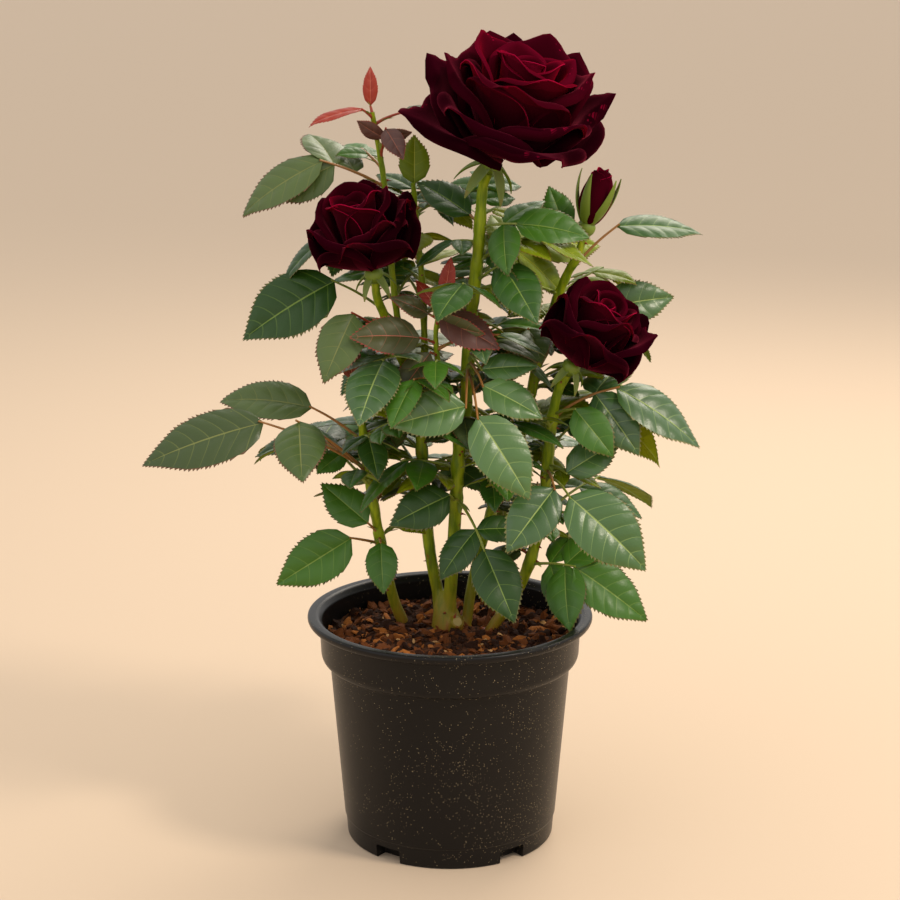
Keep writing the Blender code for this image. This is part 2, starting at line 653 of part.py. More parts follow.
def petal_ring(bloom, u, order):
    """The rims of one ring of petals, side by side, as points right round the bloom."""
    length = bloom["size"] * (0.84 + 0.16 * u)
    line = petal_profile(bloom, u, length)
    points = []
    for index in range(PETALS_A_RING * SAMPLES_A_PETAL):
        across = (index % SAMPLES_A_PETAL + 0.5) / SAMPLES_A_PETAL * 2 - 1
        rim = petal_point(bloom, u, across, 1.0, line, length)
        radius = math.hypot(rim.x, rim.y)
        shifted = index + 0.5 * SAMPLES_A_PETAL * (order % 2)
        turn = 2 * math.pi * shifted / (PETALS_A_RING * SAMPLES_A_PETAL)
        points.append(Vector((radius * math.cos(turn), radius * math.sin(turn), rim.z)))
    return points


def level_ring(radius, height, shift):
    count = PETALS_A_RING * SAMPLES_A_PETAL
    turns = [2 * math.pi * (index + shift) / count for index in range(count)]
    return [Vector((radius * math.cos(turn), radius * math.sin(turn), height)) for turn in turns]


def bloom_shape(bloom):
    """A bloom as one closed shape: rings of petal rims with a hollow inside each."""
    count = PETALS_A_RING * SAMPLES_A_PETAL
    line = petal_profile(bloom, 1.0, bloom["size"])
    rings = [level_ring(0.07 * bloom["size"], 0, 0)]
    for step in (4, 7):
        rings.append(level_ring(line[step][0], line[step][1], 0))
    for order, (u, hollow) in enumerate(PETAL_RINGS):
        rings.append(petal_ring(bloom, u, order))
        within = u - 0.12
        line = petal_profile(bloom, within, bloom["size"] * (0.84 + 0.16 * within))
        radius, height, _ = line[round(hollow * (len(line) - 1))]
        rings.append(level_ring(radius, height, 0.5 * SAMPLES_A_PETAL * (order % 2)))
    points = [point for ring in rings for point in ring]
    faces = []
    for ring in range(len(rings) - 1):
        for index in range(count):
            a = ring * count + index
            b = ring * count + (index + 1) % count
            faces.append([a, b, b + count])
            faces.append([a, b + count, a + count])
    faces.append(list(range(count))[::-1])
    top = len(points)
    points.append(Vector((0, 0, rings[-1][0].z)))
    faces += [[top - count + index, top - count + (index + 1) % count, top] for index in range(count)]
    return points, faces


def keep_one_body(mesh):
    """Drops loose scraps and fills sealed hollows: only the shell that holds most stays.

    Gives the number of edges that don't join faces in pairs.
    """
    shape = bmesh.new()
    shape.from_mesh(mesh)
    bmesh.ops.triangulate(shape, faces=shape.faces)
    unseen = set(shape.faces)
    shells = []
    while unseen:
        waiting = [unseen.pop()]
        shell = list(waiting)
        while waiting:
            for edge in waiting.pop().edges:
                for face in edge.link_faces:
                    if face in unseen:
                        unseen.remove(face)
                        shell.append(face)
                        waiting.append(face)
        volume = 0.0
        for face in shell:
            a, b, c = [corner.co for corner in face.verts]
            volume += a.dot(b.cross(c)) / 6
        shells.append((volume, shell))
    shells.sort(key=lambda entry: entry[0])
    for _, shell in shells[:-1]:
        bmesh.ops.delete(shape, geom=shell, context="FACES")
    bad_edges = sum(1 for edge in shape.edges if len(edge.link_faces) % 2 == 1)
    shape.to_mesh(mesh)
    shape.free()
    return bad_edges


def combine(base, shapes, operation):
    """Joins closed shapes to a body, or cuts them from it, with one Boolean that is applied."""
    others = bpy.data.collections.new(base.name + "_pieces")
    bpy.context.scene.collection.children.link(others)
    for index, shape in enumerate(shapes):
        piece = solid(f"{base.name}_{index}", shape)
        piece.hide_render = True
        piece.display_type = "WIRE"
        bpy.context.scene.collection.objects.unlink(piece)
        others.objects.link(piece)
    for solver in ("EXACT", "MANIFOLD"):
        modifier = base.modifiers.new("combine", "BOOLEAN")
        modifier.operation = operation
        modifier.operand_type = "COLLECTION"
        modifier.collection = others
        modifier.solver = solver
        graph = bpy.context.evaluated_depsgraph_get()
        result = bpy.data.meshes.new_from_object(base.evaluated_get(graph))
        base.modifiers.remove(modifier)
        bad_edges = keep_one_body(result)
        if bad_edges == 0 and len(result.polygons) > 0:
            break
        print(base.name, solver, "left", bad_edges, "bad edges")
    base.data = result
    result.name = base.name
    for piece in list(others.objects):
        bpy.data.objects.remove(piece, do_unlink=True)
    bpy.data.collections.remove(others)


def fuse(name, shapes, finish):
    """One body from shapes that overlap."""
    base = solid(name, shapes[0], finish)
    combine(base, shapes[1:], "UNION")
    print(name, len(base.data.polygons), "triangles")
    return base


def pot_outside():
    """Outer side of the pot, from the foot up to the top of the lip."""
    lip_foot = POT_HEIGHT - LIP_DEPTH
    collar_foot = lip_foot - COLLAR_DEPTH
    return [
        (BODY_FOOT_RADIUS - 0.0018, 0.0), (BODY_FOOT_RADIUS, 0.0018),
        (BODY_FOOT_RADIUS + 0.0012, NOTCH_HEIGHT + 0.006),
        (BODY_TOP_RADIUS - 0.0006, collar_foot - 0.006), (BODY_TOP_RADIUS, collar_foot - 0.002),
        (COLLAR_RADIUS - 0.0025, collar_foot), (COLLAR_RADIUS - 0.0010, collar_foot + 0.002),
        (COLLAR_RADIUS, lip_foot - 0.001), (LIP_RADIUS - 0.0025, lip_foot),
        (LIP_RADIUS, lip_foot + 0.002), (LIP_RADIUS, POT_HEIGHT - 0.0018),
        (LIP_RADIUS - 0.0018, POT_HEIGHT),
    ]


def pot_inside(clear=0.0):
    """Inner side of the pot from the floor up to the collar, moved in by a clearance."""
    collar_foot = POT_HEIGHT - LIP_DEPTH - COLLAR_DEPTH
    return [
        (BODY_FOOT_RADIUS - POT_WALL - 0.001 - clear, POT_FLOOR + clear),
        (BODY_TOP_RADIUS - POT_WALL - clear, collar_foot - 0.001 + clear),
        (MOUTH_RADIUS - clear, collar_foot + 0.003 + clear),
    ]


def notch_blocks(grow, outer, foot):
    """Blocks where the notches are, the first beside the front, grown by a wall's thickness."""
    inner = BODY_FOOT_RADIUS - NOTCH_DEPTH - grow
    top = NOTCH_HEIGHT + grow
    shape = bmesh.new()
    bmesh.ops.create_cube(shape, size=1)
    points = [vertex.co.copy() for vertex in shape.verts]
    faces = [[vertex.index for vertex in face.verts] for face in shape.faces]
    shape.free()
    size = Matrix.Diagonal((outer - inner, NOTCH_WIDTH + 2 * grow, top - foot, 1))
    place = Matrix.Translation(((outer + inner) / 2, 0, (top + foot) / 2))
    shapes = []
    for index in range(NOTCH_COUNT):
        angle = math.radians(-90 + (index + 0.5) * 360 / NOTCH_COUNT)
        shapes.append(moved((points, faces), Matrix.Rotation(angle, 4, "Z") @ place @ size))
    return shapes


def make_pot():
    finish = material("black_plastic", (0.024, 0.022, 0.020), 0.42)
    lip = [(LIP_RADIUS - LIP_WIDTH, POT_HEIGHT), (MOUTH_RADIUS, POT_HEIGHT - 0.003)]
    profile = [(0, 0)] + pot_outside() + lip + pot_inside()[::-1] + [(0, POT_FLOOR)]
    pot = solid("pot", turned(profile, POT_SIDES), finish)
    # The boxes round the notches end inside the wall, even at their corners.
    within = BODY_FOOT_RADIUS - POT_WALL / 2
    within *= math.cos(math.asin(NOTCH_WIDTH / 2 / within))
    combine(pot, notch_blocks(POT_WALL, within, POT_FLOOR / 2), "UNION")
    combine(pot, notch_blocks(0, BODY_FOOT_RADIUS + POT_WALL * 2, -POT_FLOOR), "DIFFERENCE")


def make_soil():
    finish = material("bark_compost", (0.060, 0.028, 0.016), 0.95)
    top = [(MOUTH_RADIUS - GAP, SOIL_LEVEL - GAP), (0, SOIL_LEVEL - GAP)]
    profile = [(0, POT_FLOOR + GAP)] + pot_inside(GAP) + top
    soil = solid("soil", turned(profile, POT_SIDES), finish)
    combine(soil, notch_blocks(POT_WALL + GAP, BODY_TOP_RADIUS, -GAP), "DIFFERENCE")


def make_crown():
    finish = material("crown_wood", (0.25, 0.30, 0.07), 0.6)
    x, y = CROWN_CENTRE
    rows = [(SOIL_LEVEL, CROWN_FOOT_RADIUS), (0.146, CROWN_FOOT_RADIUS * 0.92),
            (0.154, CROWN_TOP_RADIUS * 0.86), (CROWN_TOP - GAP, CROWN_TOP_RADIUS)]
    points = [Vector((x - 0.002 * index, y, height)) for index, (height, _) in enumerate(rows)]
    solid("crown", tube(points, [radius for _, radius in rows], [UPRIGHT] * len(rows), 10), finish)


def make_limbs():
    finish = material("green_cane", (0.22, 0.32, 0.06), 0.5)
    for name, route, start, end in LIMBS:
        solid(name, tube(*stretch(route, start, end - GAP), 6), finish)


def mass_shapes(stretches, sprays):
    shapes = []
    for route, start, end in stretches:
        shapes.append(tube(*stretch(route, start, end - GAP), 6))
    for _, points, leaflets in sprays:
        last = len(points) - 1
        radii = [STALK_RADIUS * (1.25 - 0.3 * index / last) for index in range(last + 1)]
        shapes.append(tube(points, radii, ways_along(points), 3))
        shapes += [leaf_solid(leaf, LEAF_THICKNESS, blade_rows(leaf)) for leaf in leaflets]
    return shapes


def make_masses():
    plan = plan_foliage()
    finish = material("rose_leaves", (0.045, 0.115, 0.030), 0.45)
    for name, stretches in MASSES:
        fuse(name, mass_shapes(stretches, plan[name]), finish)


def make_blooms():
    finish = material("crimson_petals", (0.085, 0.004, 0.012), 0.55)
    for name, bloom in BLOOMS.items():
        solid("bloom_" + name, moved(bloom_shape(bloom), head_matrix(name)), finish)


def make_bud():
    finish = material("bud_petals", (0.075, 0.006, 0.014), 0.5)
    radius, length = BUD_RADIUS, BUD_LENGTH
    profile = [(0, 0), (radius * 0.3, 0), (radius * 0.75, length * 0.15), (radius, length * 0.40),
               (radius * 0.85, length * 0.72), (radius * 0.5, length), (0, length * 0.93)]
    solid("bloom_bud", moved(turned(profile, 12), head_matrix("bud")), finish)


def hip_shape(name):
    radius, length = HIP_RADIUS, HIP_LENGTH
    profile = [(0, -length), (radius * 0.5, -length), (radius * 0.95, -length * 0.6),
               (radius, -length * 0.3), (radius * 0.8, -GAP), (0, -GAP)]
    return moved(turned(profile, 8), head_matrix(name))


def sepals(name):
    """Sepals round the top of a hip, as leaflets that curl back, or in on the bud."""
    share, tilt, bend = BUD_SEPALS if name == "bud" else OPEN_SEPALS
    length = share * (BUD_LENGTH if name == "bud" else BLOOMS[name]["size"])
    angle = math.radians(tilt)
    along = Vector((math.sin(angle), 0, math.cos(angle)))
    up = Vector((-math.cos(angle), 0, math.sin(angle)))
    root = Vector((HIP_RADIUS * 0.35, 0, -HIP_LENGTH * 0.35))
    made = []
    for index in range(SEPAL_COUNT):
        place = head_matrix(name) @ Matrix.Rotation(math.radians(20 + 360 / SEPAL_COUNT * index), 4, "Z")
        turn = place.to_3x3()
        made.append(Leaflet(place @ root, turn @ along, turn @ up, length, math.radians(bend),
                            SEPAL_HALF_WIDTH))
    return made


def make_calyxes():
    finish = material("green_calyx", (0.25, 0.36, 0.08), 0.55)
    for name in HEADS:
        blades = [leaf_solid(sepal, SEPAL_THICKNESS, SHORT_LEAF_ROWS) for sepal in sepals(name)]
        fuse("calyx_" + name, [hip_shape(name)] + blades, finish)


def main():
    clear_scene()
    make_pot()
    make_soil()
    make_crown()
    make_limbs()
    make_masses()
    make_blooms()
    make_calyxes()
    make_bud()


if __name__ == "__main__":
    main()
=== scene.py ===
import json
import math
import random

import bmesh
import bpy
from mathutils import Matrix, Quaternion, Vector, noise
from mathutils.bvhtree import BVHTree

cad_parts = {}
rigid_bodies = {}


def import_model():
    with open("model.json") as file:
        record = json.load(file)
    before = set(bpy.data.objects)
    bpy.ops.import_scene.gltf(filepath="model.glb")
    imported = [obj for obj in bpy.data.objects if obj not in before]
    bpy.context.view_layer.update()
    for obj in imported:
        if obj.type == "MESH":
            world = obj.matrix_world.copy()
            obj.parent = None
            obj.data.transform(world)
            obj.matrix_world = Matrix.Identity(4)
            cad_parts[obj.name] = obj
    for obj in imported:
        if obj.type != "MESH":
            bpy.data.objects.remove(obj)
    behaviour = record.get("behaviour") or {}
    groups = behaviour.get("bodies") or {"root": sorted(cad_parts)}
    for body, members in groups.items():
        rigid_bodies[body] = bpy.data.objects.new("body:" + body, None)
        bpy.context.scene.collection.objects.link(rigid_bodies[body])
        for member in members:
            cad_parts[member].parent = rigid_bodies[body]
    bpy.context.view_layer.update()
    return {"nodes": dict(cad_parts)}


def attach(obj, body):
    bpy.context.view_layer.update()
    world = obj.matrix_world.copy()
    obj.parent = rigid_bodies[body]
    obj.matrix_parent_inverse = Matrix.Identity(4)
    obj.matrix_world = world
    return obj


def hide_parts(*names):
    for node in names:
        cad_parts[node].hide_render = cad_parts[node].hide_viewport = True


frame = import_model()
scene = bpy.context.scene
print("frame loaded:", len(frame["nodes"]), "nodes")


def linear(hexColour):
    # sRGB hex to the linear colour that a shader takes
    channels = [int(hexColour[start:start + 2], 16) / 255 for start in (1, 3, 5)]
    return [c / 12.92 if c < 0.04045 else ((c + 0.055) / 1.055) ** 2.4 for c in channels] + [1.0]


def addNode(tree, kind, values=None, links=None, **settings):
    node = tree.nodes.new(kind)
    for name, setting in settings.items():
        setattr(node, name, setting)
    for key, value in (values or {}).items():
        node.inputs[key].default_value = value
    for key, socket in (links or {}).items():
        tree.links.new(socket, node.inputs[key])
    return node


def setRamp(ramp, *stops):
    for element, (position, colour) in zip(ramp.color_ramp.elements, stops):
        element.position, element.color = position, linear(colour)


def newMaterial(name, colour, roughness, values=None, grain=None):
    # grain is (size in mm, depth in mm) of the fine relief that breaks up the gloss
    made = bpy.data.materials.new(name)
    made.use_nodes = True
    tree = made.node_tree
    shader = tree.nodes["Principled BSDF"]
    shader.inputs["Base Color"].default_value = linear(colour)
    shader.inputs["Roughness"].default_value = roughness
    for key, value in (values or {}).items():
        shader.inputs[key].default_value = value
    if grain:
        size, depth = grain
        spot = addNode(tree, "ShaderNodeTexCoord")
        lumps = addNode(tree, "ShaderNodeTexNoise", {"Scale": 1000 / size, "Detail": 3.0},
                        {"Vector": spot.outputs["Object"]})
        bump = addNode(tree, "ShaderNodeBump", {"Strength": 1.0, "Distance": depth / 1000},
                       {"Height": lumps.outputs[0]})
        tree.links.new(bump.outputs["Normal"], shader.inputs["Normal"])
    return made


class Pile:
    # points, faces and the slot of each face, gathered for one joined mesh
    def __init__(self):
        self.points, self.faces, self.slots = [], [], []

    def add(self, shape, slot=0):
        base = len(self.points)
        self.points += [tuple(point) for point in shape[0]]
        self.faces += [[base + corner for corner in face] for face in shape[1]]
        self.slots += slot if isinstance(slot, list) else [slot] * len(shape[1])

    def build(self, name, materials, sharpAngle=50):
        mesh = bpy.data.meshes.new(name)
        mesh.from_pydata(self.points, [], self.faces)
        for made in materials:
            mesh.materials.append(made)
        mesh.polygons.foreach_set("material_index", self.slots)
        shape = bmesh.new()
        shape.from_mesh(mesh)
        bmesh.ops.recalc_face_normals(shape, faces=shape.faces)
        shape.to_mesh(mesh)
        shape.free()
        mesh.shade_smooth()
        mesh.set_sharp_from_angle(angle=math.radians(sharpAngle))
        made = bpy.data.objects.new(name, mesh)
        scene.collection.objects.link(made)
        return made


def finishPiece(piece, slotName, *nodes):
    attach(piece, "root")
    if nodes:
        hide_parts(*nodes)
    print(piece.name, sum(len(face.vertices) - 2 for face in piece.data.polygons), "triangles")


def evaluatedMesh(body):
    graph = bpy.context.evaluated_depsgraph_get()
    return bpy.data.meshes.new_from_object(body.evaluated_get(graph))


def meshShape(mesh):
    return ([vertex.co.copy() for vertex in mesh.vertices],
            [list(face.vertices) for face in mesh.polygons])


def blockShape(block):
    # points and faces of a bmesh, which is freed
    shape = ([vertex.co.copy() for vertex in block.verts],
             [[vertex.index for vertex in face.verts] for face in block.faces])
    block.free()
    return shape


def ringPoints(radius, height, sides):
    turns = [2 * math.pi * side / sides for side in range(sides)]
    return [Vector((radius * math.cos(turn), radius * math.sin(turn), height)) for turn in turns]


def ringFaces(rings, sides):
    # the faces between rings of points that follow each other
    faces = []
    for low in range(0, (rings - 1) * sides, sides):
        for side in range(sides):
            after = (side + 1) % sides
            faces.append([low + side, low + after, low + sides + after, low + sides + side])
    return faces


def turned(profile, sides):
    # a closed turned shape: the profile runs from the axis round to the axis again
    points, faces, rings = [], [], []
    for radius, height in profile:
        onAxis = radius == 0
        rings.append([len(points) + side * (not onAxis) for side in range(sides)])
        points += [Vector((0, 0, height))] if onAxis else ringPoints(radius, height, sides)
    for low, high in zip(rings, rings[1:]):
        for side in range(sides):
            after = (side + 1) % sides
            faces.append(list(dict.fromkeys([low[side], low[after], high[after], high[side]])))
    return points, faces


def moved(shape, matrix):
    return [matrix @ point for point in shape[0]], shape[1]


def tube(points, radii, ways, sides):
    # a closed tapering tube whose rings each face their own way
    skin = []
    across = ways[0].orthogonal().normalized()
    for point, radius, way in zip(points, radii, ways):
        across = (across - way * across.dot(way)).normalized()
        up = way.cross(across)
        for side in range(sides):
            angle = 2 * math.pi * side / sides
            skin.append(point + radius * (math.cos(angle) * across + math.sin(angle) * up))
    last = (len(points) - 1) * sides
    ends = [list(range(sides))[::-1], list(range(last, last + sides))]
    return skin, ringFaces(len(points), sides) + ends


def waysAlong(points):
    last = len(points) - 1
    return [(points[min(i + 1, last)] - points[max(i - 1, 0)]).normalized() for i in range(last + 1)]


def evenSteps(first, final, count):
    return [first + (final - first) * index / (count - 1) for index in range(count)]


def smoothLine(marks, steps):
    # a curve through the marks, with this many steps between each pair
    marks = [2 * marks[0] - marks[1]] + marks + [2 * marks[-1] - marks[-2]]
    points = []
    for a, b, c, d in zip(marks, marks[1:], marks[2:], marks[3:]):
        for step in range(steps):
            t = step / steps
            bend = (2 * a - 5 * b + 4 * c - d) * t**2 + (3 * b - 3 * c + d - a) * t**3
            points.append(0.5 * (2 * b + (c - a) * t + bend))
    points.append(marks[-2])
    return points


def heading(bearing, rise):
    level = math.cos(math.radians(rise))
    turn = math.radians(bearing)
    return Vector((level * math.cos(turn), level * math.sin(turn), math.sin(math.radians(rise))))


cameraLook = {"place": (0.0, -1.3516, 0.5942), "pitchDown": 13.7, "lens": 85, "sensor": 36}
camera = bpy.data.objects.new("camera", bpy.data.cameras.new("camera"))
camera.data.lens = cameraLook["lens"]
camera.data.sensor_width = cameraLook["sensor"]
camera.location = cameraLook["place"]
camera.rotation_euler = (math.radians(90 - cameraLook["pitchDown"]), 0, 0)
scene.collection.objects.link(camera)
scene.camera = camera

studio = {
    "floorRadius": 60.0,
    "floorSides": 64,
    "aimHeight": 0.28,
    "floorColour": "#d0b99f",
    "skyColour": "#f2efec",
    "skyStrength": 1.04,
    # place, energy in watts, size, colour
    "lamps": {
        "key": ((1.20, -0.70, 1.75), 21, 0.40, "#fff2e0"),
        "fill": ((-1.60, -1.30, 0.95), 3, 1.50, "#e8efff"),
        "back": ((0.55, 1.30, 1.50), 18, 1.00, "#fff4e4"),
    },
}
floorPile = Pile()
floorPile.add((ringPoints(studio["floorRadius"], 0, studio["floorSides"]),
               [list(range(studio["floorSides"]))]))
# matt plaster: even and pale, so that the plant stands out from it
plaster = newMaterial("mattPlaster", studio["floorColour"], 0.9, grain=(4.0, 0.05))
floorPile.build("floor", [plaster])
for lampName, (lampPlace, watts, lampSize, lampColour) in studio["lamps"].items():
    lamp = bpy.data.lights.new(lampName, "AREA")
    lamp.energy = watts
    lamp.size = lampSize
    lamp.color = linear(lampColour)[:3]
    stand = bpy.data.objects.new(lampName, lamp)
    stand.location = lampPlace
    aim = Vector((0, 0, studio["aimHeight"])) - Vector(lampPlace)
    stand.rotation_euler = aim.to_track_quat("-Z", "Y").to_euler()
    scene.collection.objects.link(stand)
scene.world = bpy.data.worlds.new("studio")
scene.world.use_nodes = True
sky = scene.world.node_tree.nodes["Background"]
sky.inputs["Color"].default_value = linear(studio["skyColour"])
sky.inputs["Strength"].default_value = studio["skyStrength"]
scene.view_settings.view_transform = "Standard"
print("studio ready")

# the plant's rule, in metres: where every cane, leaf and head stands
clearance = 0.0003  # between neighbours that touch on the real plant
upright = Vector((0, 0, 1))

pot = {
    "height": 0.154, "lipRadius": 0.095, "lipWidth": 0.0068, "lipDepth": 0.0050,
    "collarRadius": 0.087, "collarDepth": 0.0265, "bodyTop": 0.0805, "bodyFoot": 0.0700,
    "wall": 0.0016, "floor": 0.0030, "soilLevel": 0.137,
    "notches": 5, "notchWidth": 0.019, "notchHeight": 0.0095, "notchDepth": 0.010,
}
crown = {"x": -0.001, "y": 0.018, "top": 0.160}
soilLevel = pot["soilLevel"]

# foot of the petals on the hip, lean from upright and its bearing
heads = {
    "top": ((0.0270, -0.0055, 0.4550), 26, -52),
    "left": ((-0.0490, -0.0110, 0.3860), 20, -112),
    "right": ((0.0795, -0.0090, 0.3250), 30, -38),
    "bud": ((0.0890, 0.0170, 0.4120), 16, -8),
}
headOf = {"centre": "top", "back": "left", "right": "right", "bud": "bud"}
hip = {"length": 0.0095, "radius": 0.0062, "neck": 0.0140}
blooms = {
    "top": {"size": 0.084, "open": 1.0},
    "left": {"size": 0.056, "open": 0.35},
    "right": {"size": 0.057, "open": 0.35},
}
budSize = {"length": 0.035, "radius": 0.0090}
sepalRule = {"open": (0.44, 118, 40), "bud": (1.20, 44, -52), "width": 0.13, "thick": 0.035, "count": 5}

# canes and shoots, foot to tip, with the radius at each end
routes = {
    "left": ([(-0.032, 0.028, 0.137), (-0.039, 0.024, 0.158), (-0.048, 0.015, 0.206),
              (-0.054, 0.008, 0.250), (-0.058, 0.004, 0.284), (-0.062, 0.001, 0.310)], (0.0040, 0.0022)),
    "centre": ([(0.000, 0.015, 0.160), (0.002, 0.012, 0.190), (0.004, 0.010, 0.228),
                (0.006, 0.008, 0.263), (0.010, 0.006, 0.290), (0.013, 0.004, 0.344),
                (0.018, 0.002, 0.396)], (0.0045, 0.0032)),
    "back": ([(-0.008, 0.021, 0.160), (-0.014, 0.021, 0.194), (-0.018, 0.022, 0.246),
              (-0.020, 0.022, 0.275), (-0.026, 0.018, 0.305), (-0.036, 0.008, 0.338)], (0.0042, 0.0026)),
    "top_left": ([(-0.022, 0.022, 0.280), (-0.030, 0.027, 0.313), (-0.038, 0.027, 0.379),
                  (-0.043, 0.028, 0.438), (-0.047, 0.026, 0.464), (-0.050, 0.024, 0.482)],
                 (0.0026, 0.0013)),
    "upper": ([(-0.022, 0.021, 0.284), (-0.017, 0.028, 0.312), (-0.018, 0.032, 0.365),
               (-0.021, 0.032, 0.400), (-0.024, 0.030, 0.436)], (0.0026, 0.0015)),
    "red": ([(0.006, 0.006, 0.266), (-0.001, -0.003, 0.284), (-0.005, -0.008, 0.303),
             (-0.008, -0.010, 0.327), (-0.009, -0.012, 0.347), (-0.004, -0.013, 0.368)], (0.0022, 0.0012)),
    "right": ([(0.028, 0.014, 0.137), (0.045, 0.011, 0.165), (0.055, 0.008, 0.192),
               (0.062, 0.005, 0.229), (0.065, 0.002, 0.268), (0.067, 0.000, 0.288)], (0.0040, 0.0030)),
    "bud": ([(0.011, 0.024, 0.137), (0.015, 0.027, 0.165), (0.022, 0.028, 0.195),
             (0.034, 0.030, 0.234), (0.048, 0.030, 0.270), (0.055, 0.028, 0.302),
             (0.060, 0.026, 0.332), (0.075, 0.022, 0.374)], (0.0038, 0.0024)),
}
limbs = [
    ("cane_left", "left", soilLevel, 0.190),
    ("cane_centre", "centre", crown["top"], 0.216),
    ("cane_back", "back", crown["top"], 0.222),
    ("cane_right", "right", soilLevel, 0.180),
    ("cane_bud", "bud", soilLevel, 0.205),
]
toTip = 1.0
# each mass of foliage and the lengths of route that carry it
masses = [
    ("foliage_left_low", [("left", 0.190, 0.258)]),
    ("foliage_left_top", [("left", 0.258, toTip)]),
    ("foliage_centre_low", [("centre", 0.216, 0.262)]),
    ("foliage_centre_mid", [("centre", 0.262, 0.345), ("red", 0.266, toTip)]),
    ("foliage_centre_top", [("centre", 0.345, toTip)]),
    ("foliage_back_low", [("back", 0.222, 0.268)]),
    ("foliage_back_mid", [("back", 0.268, toTip), ("top_left", 0.280, 0.330), ("upper", 0.284, 0.340)]),
    ("foliage_top_left", [("top_left", 0.330, toTip)]),
    ("foliage_upper", [("upper", 0.340, toTip)]),
    ("foliage_right_low", [("right", 0.180, 0.240)]),
    ("foliage_right_top", [("right", 0.240, toTip)]),
    ("foliage_bud_low", [("bud", 0.205, 0.285)]),
    ("foliage_bud_mid", [("bud", 0.285, 0.350)]),
    ("foliage_bud_top", [("bud", 0.350, toTip)]),
]
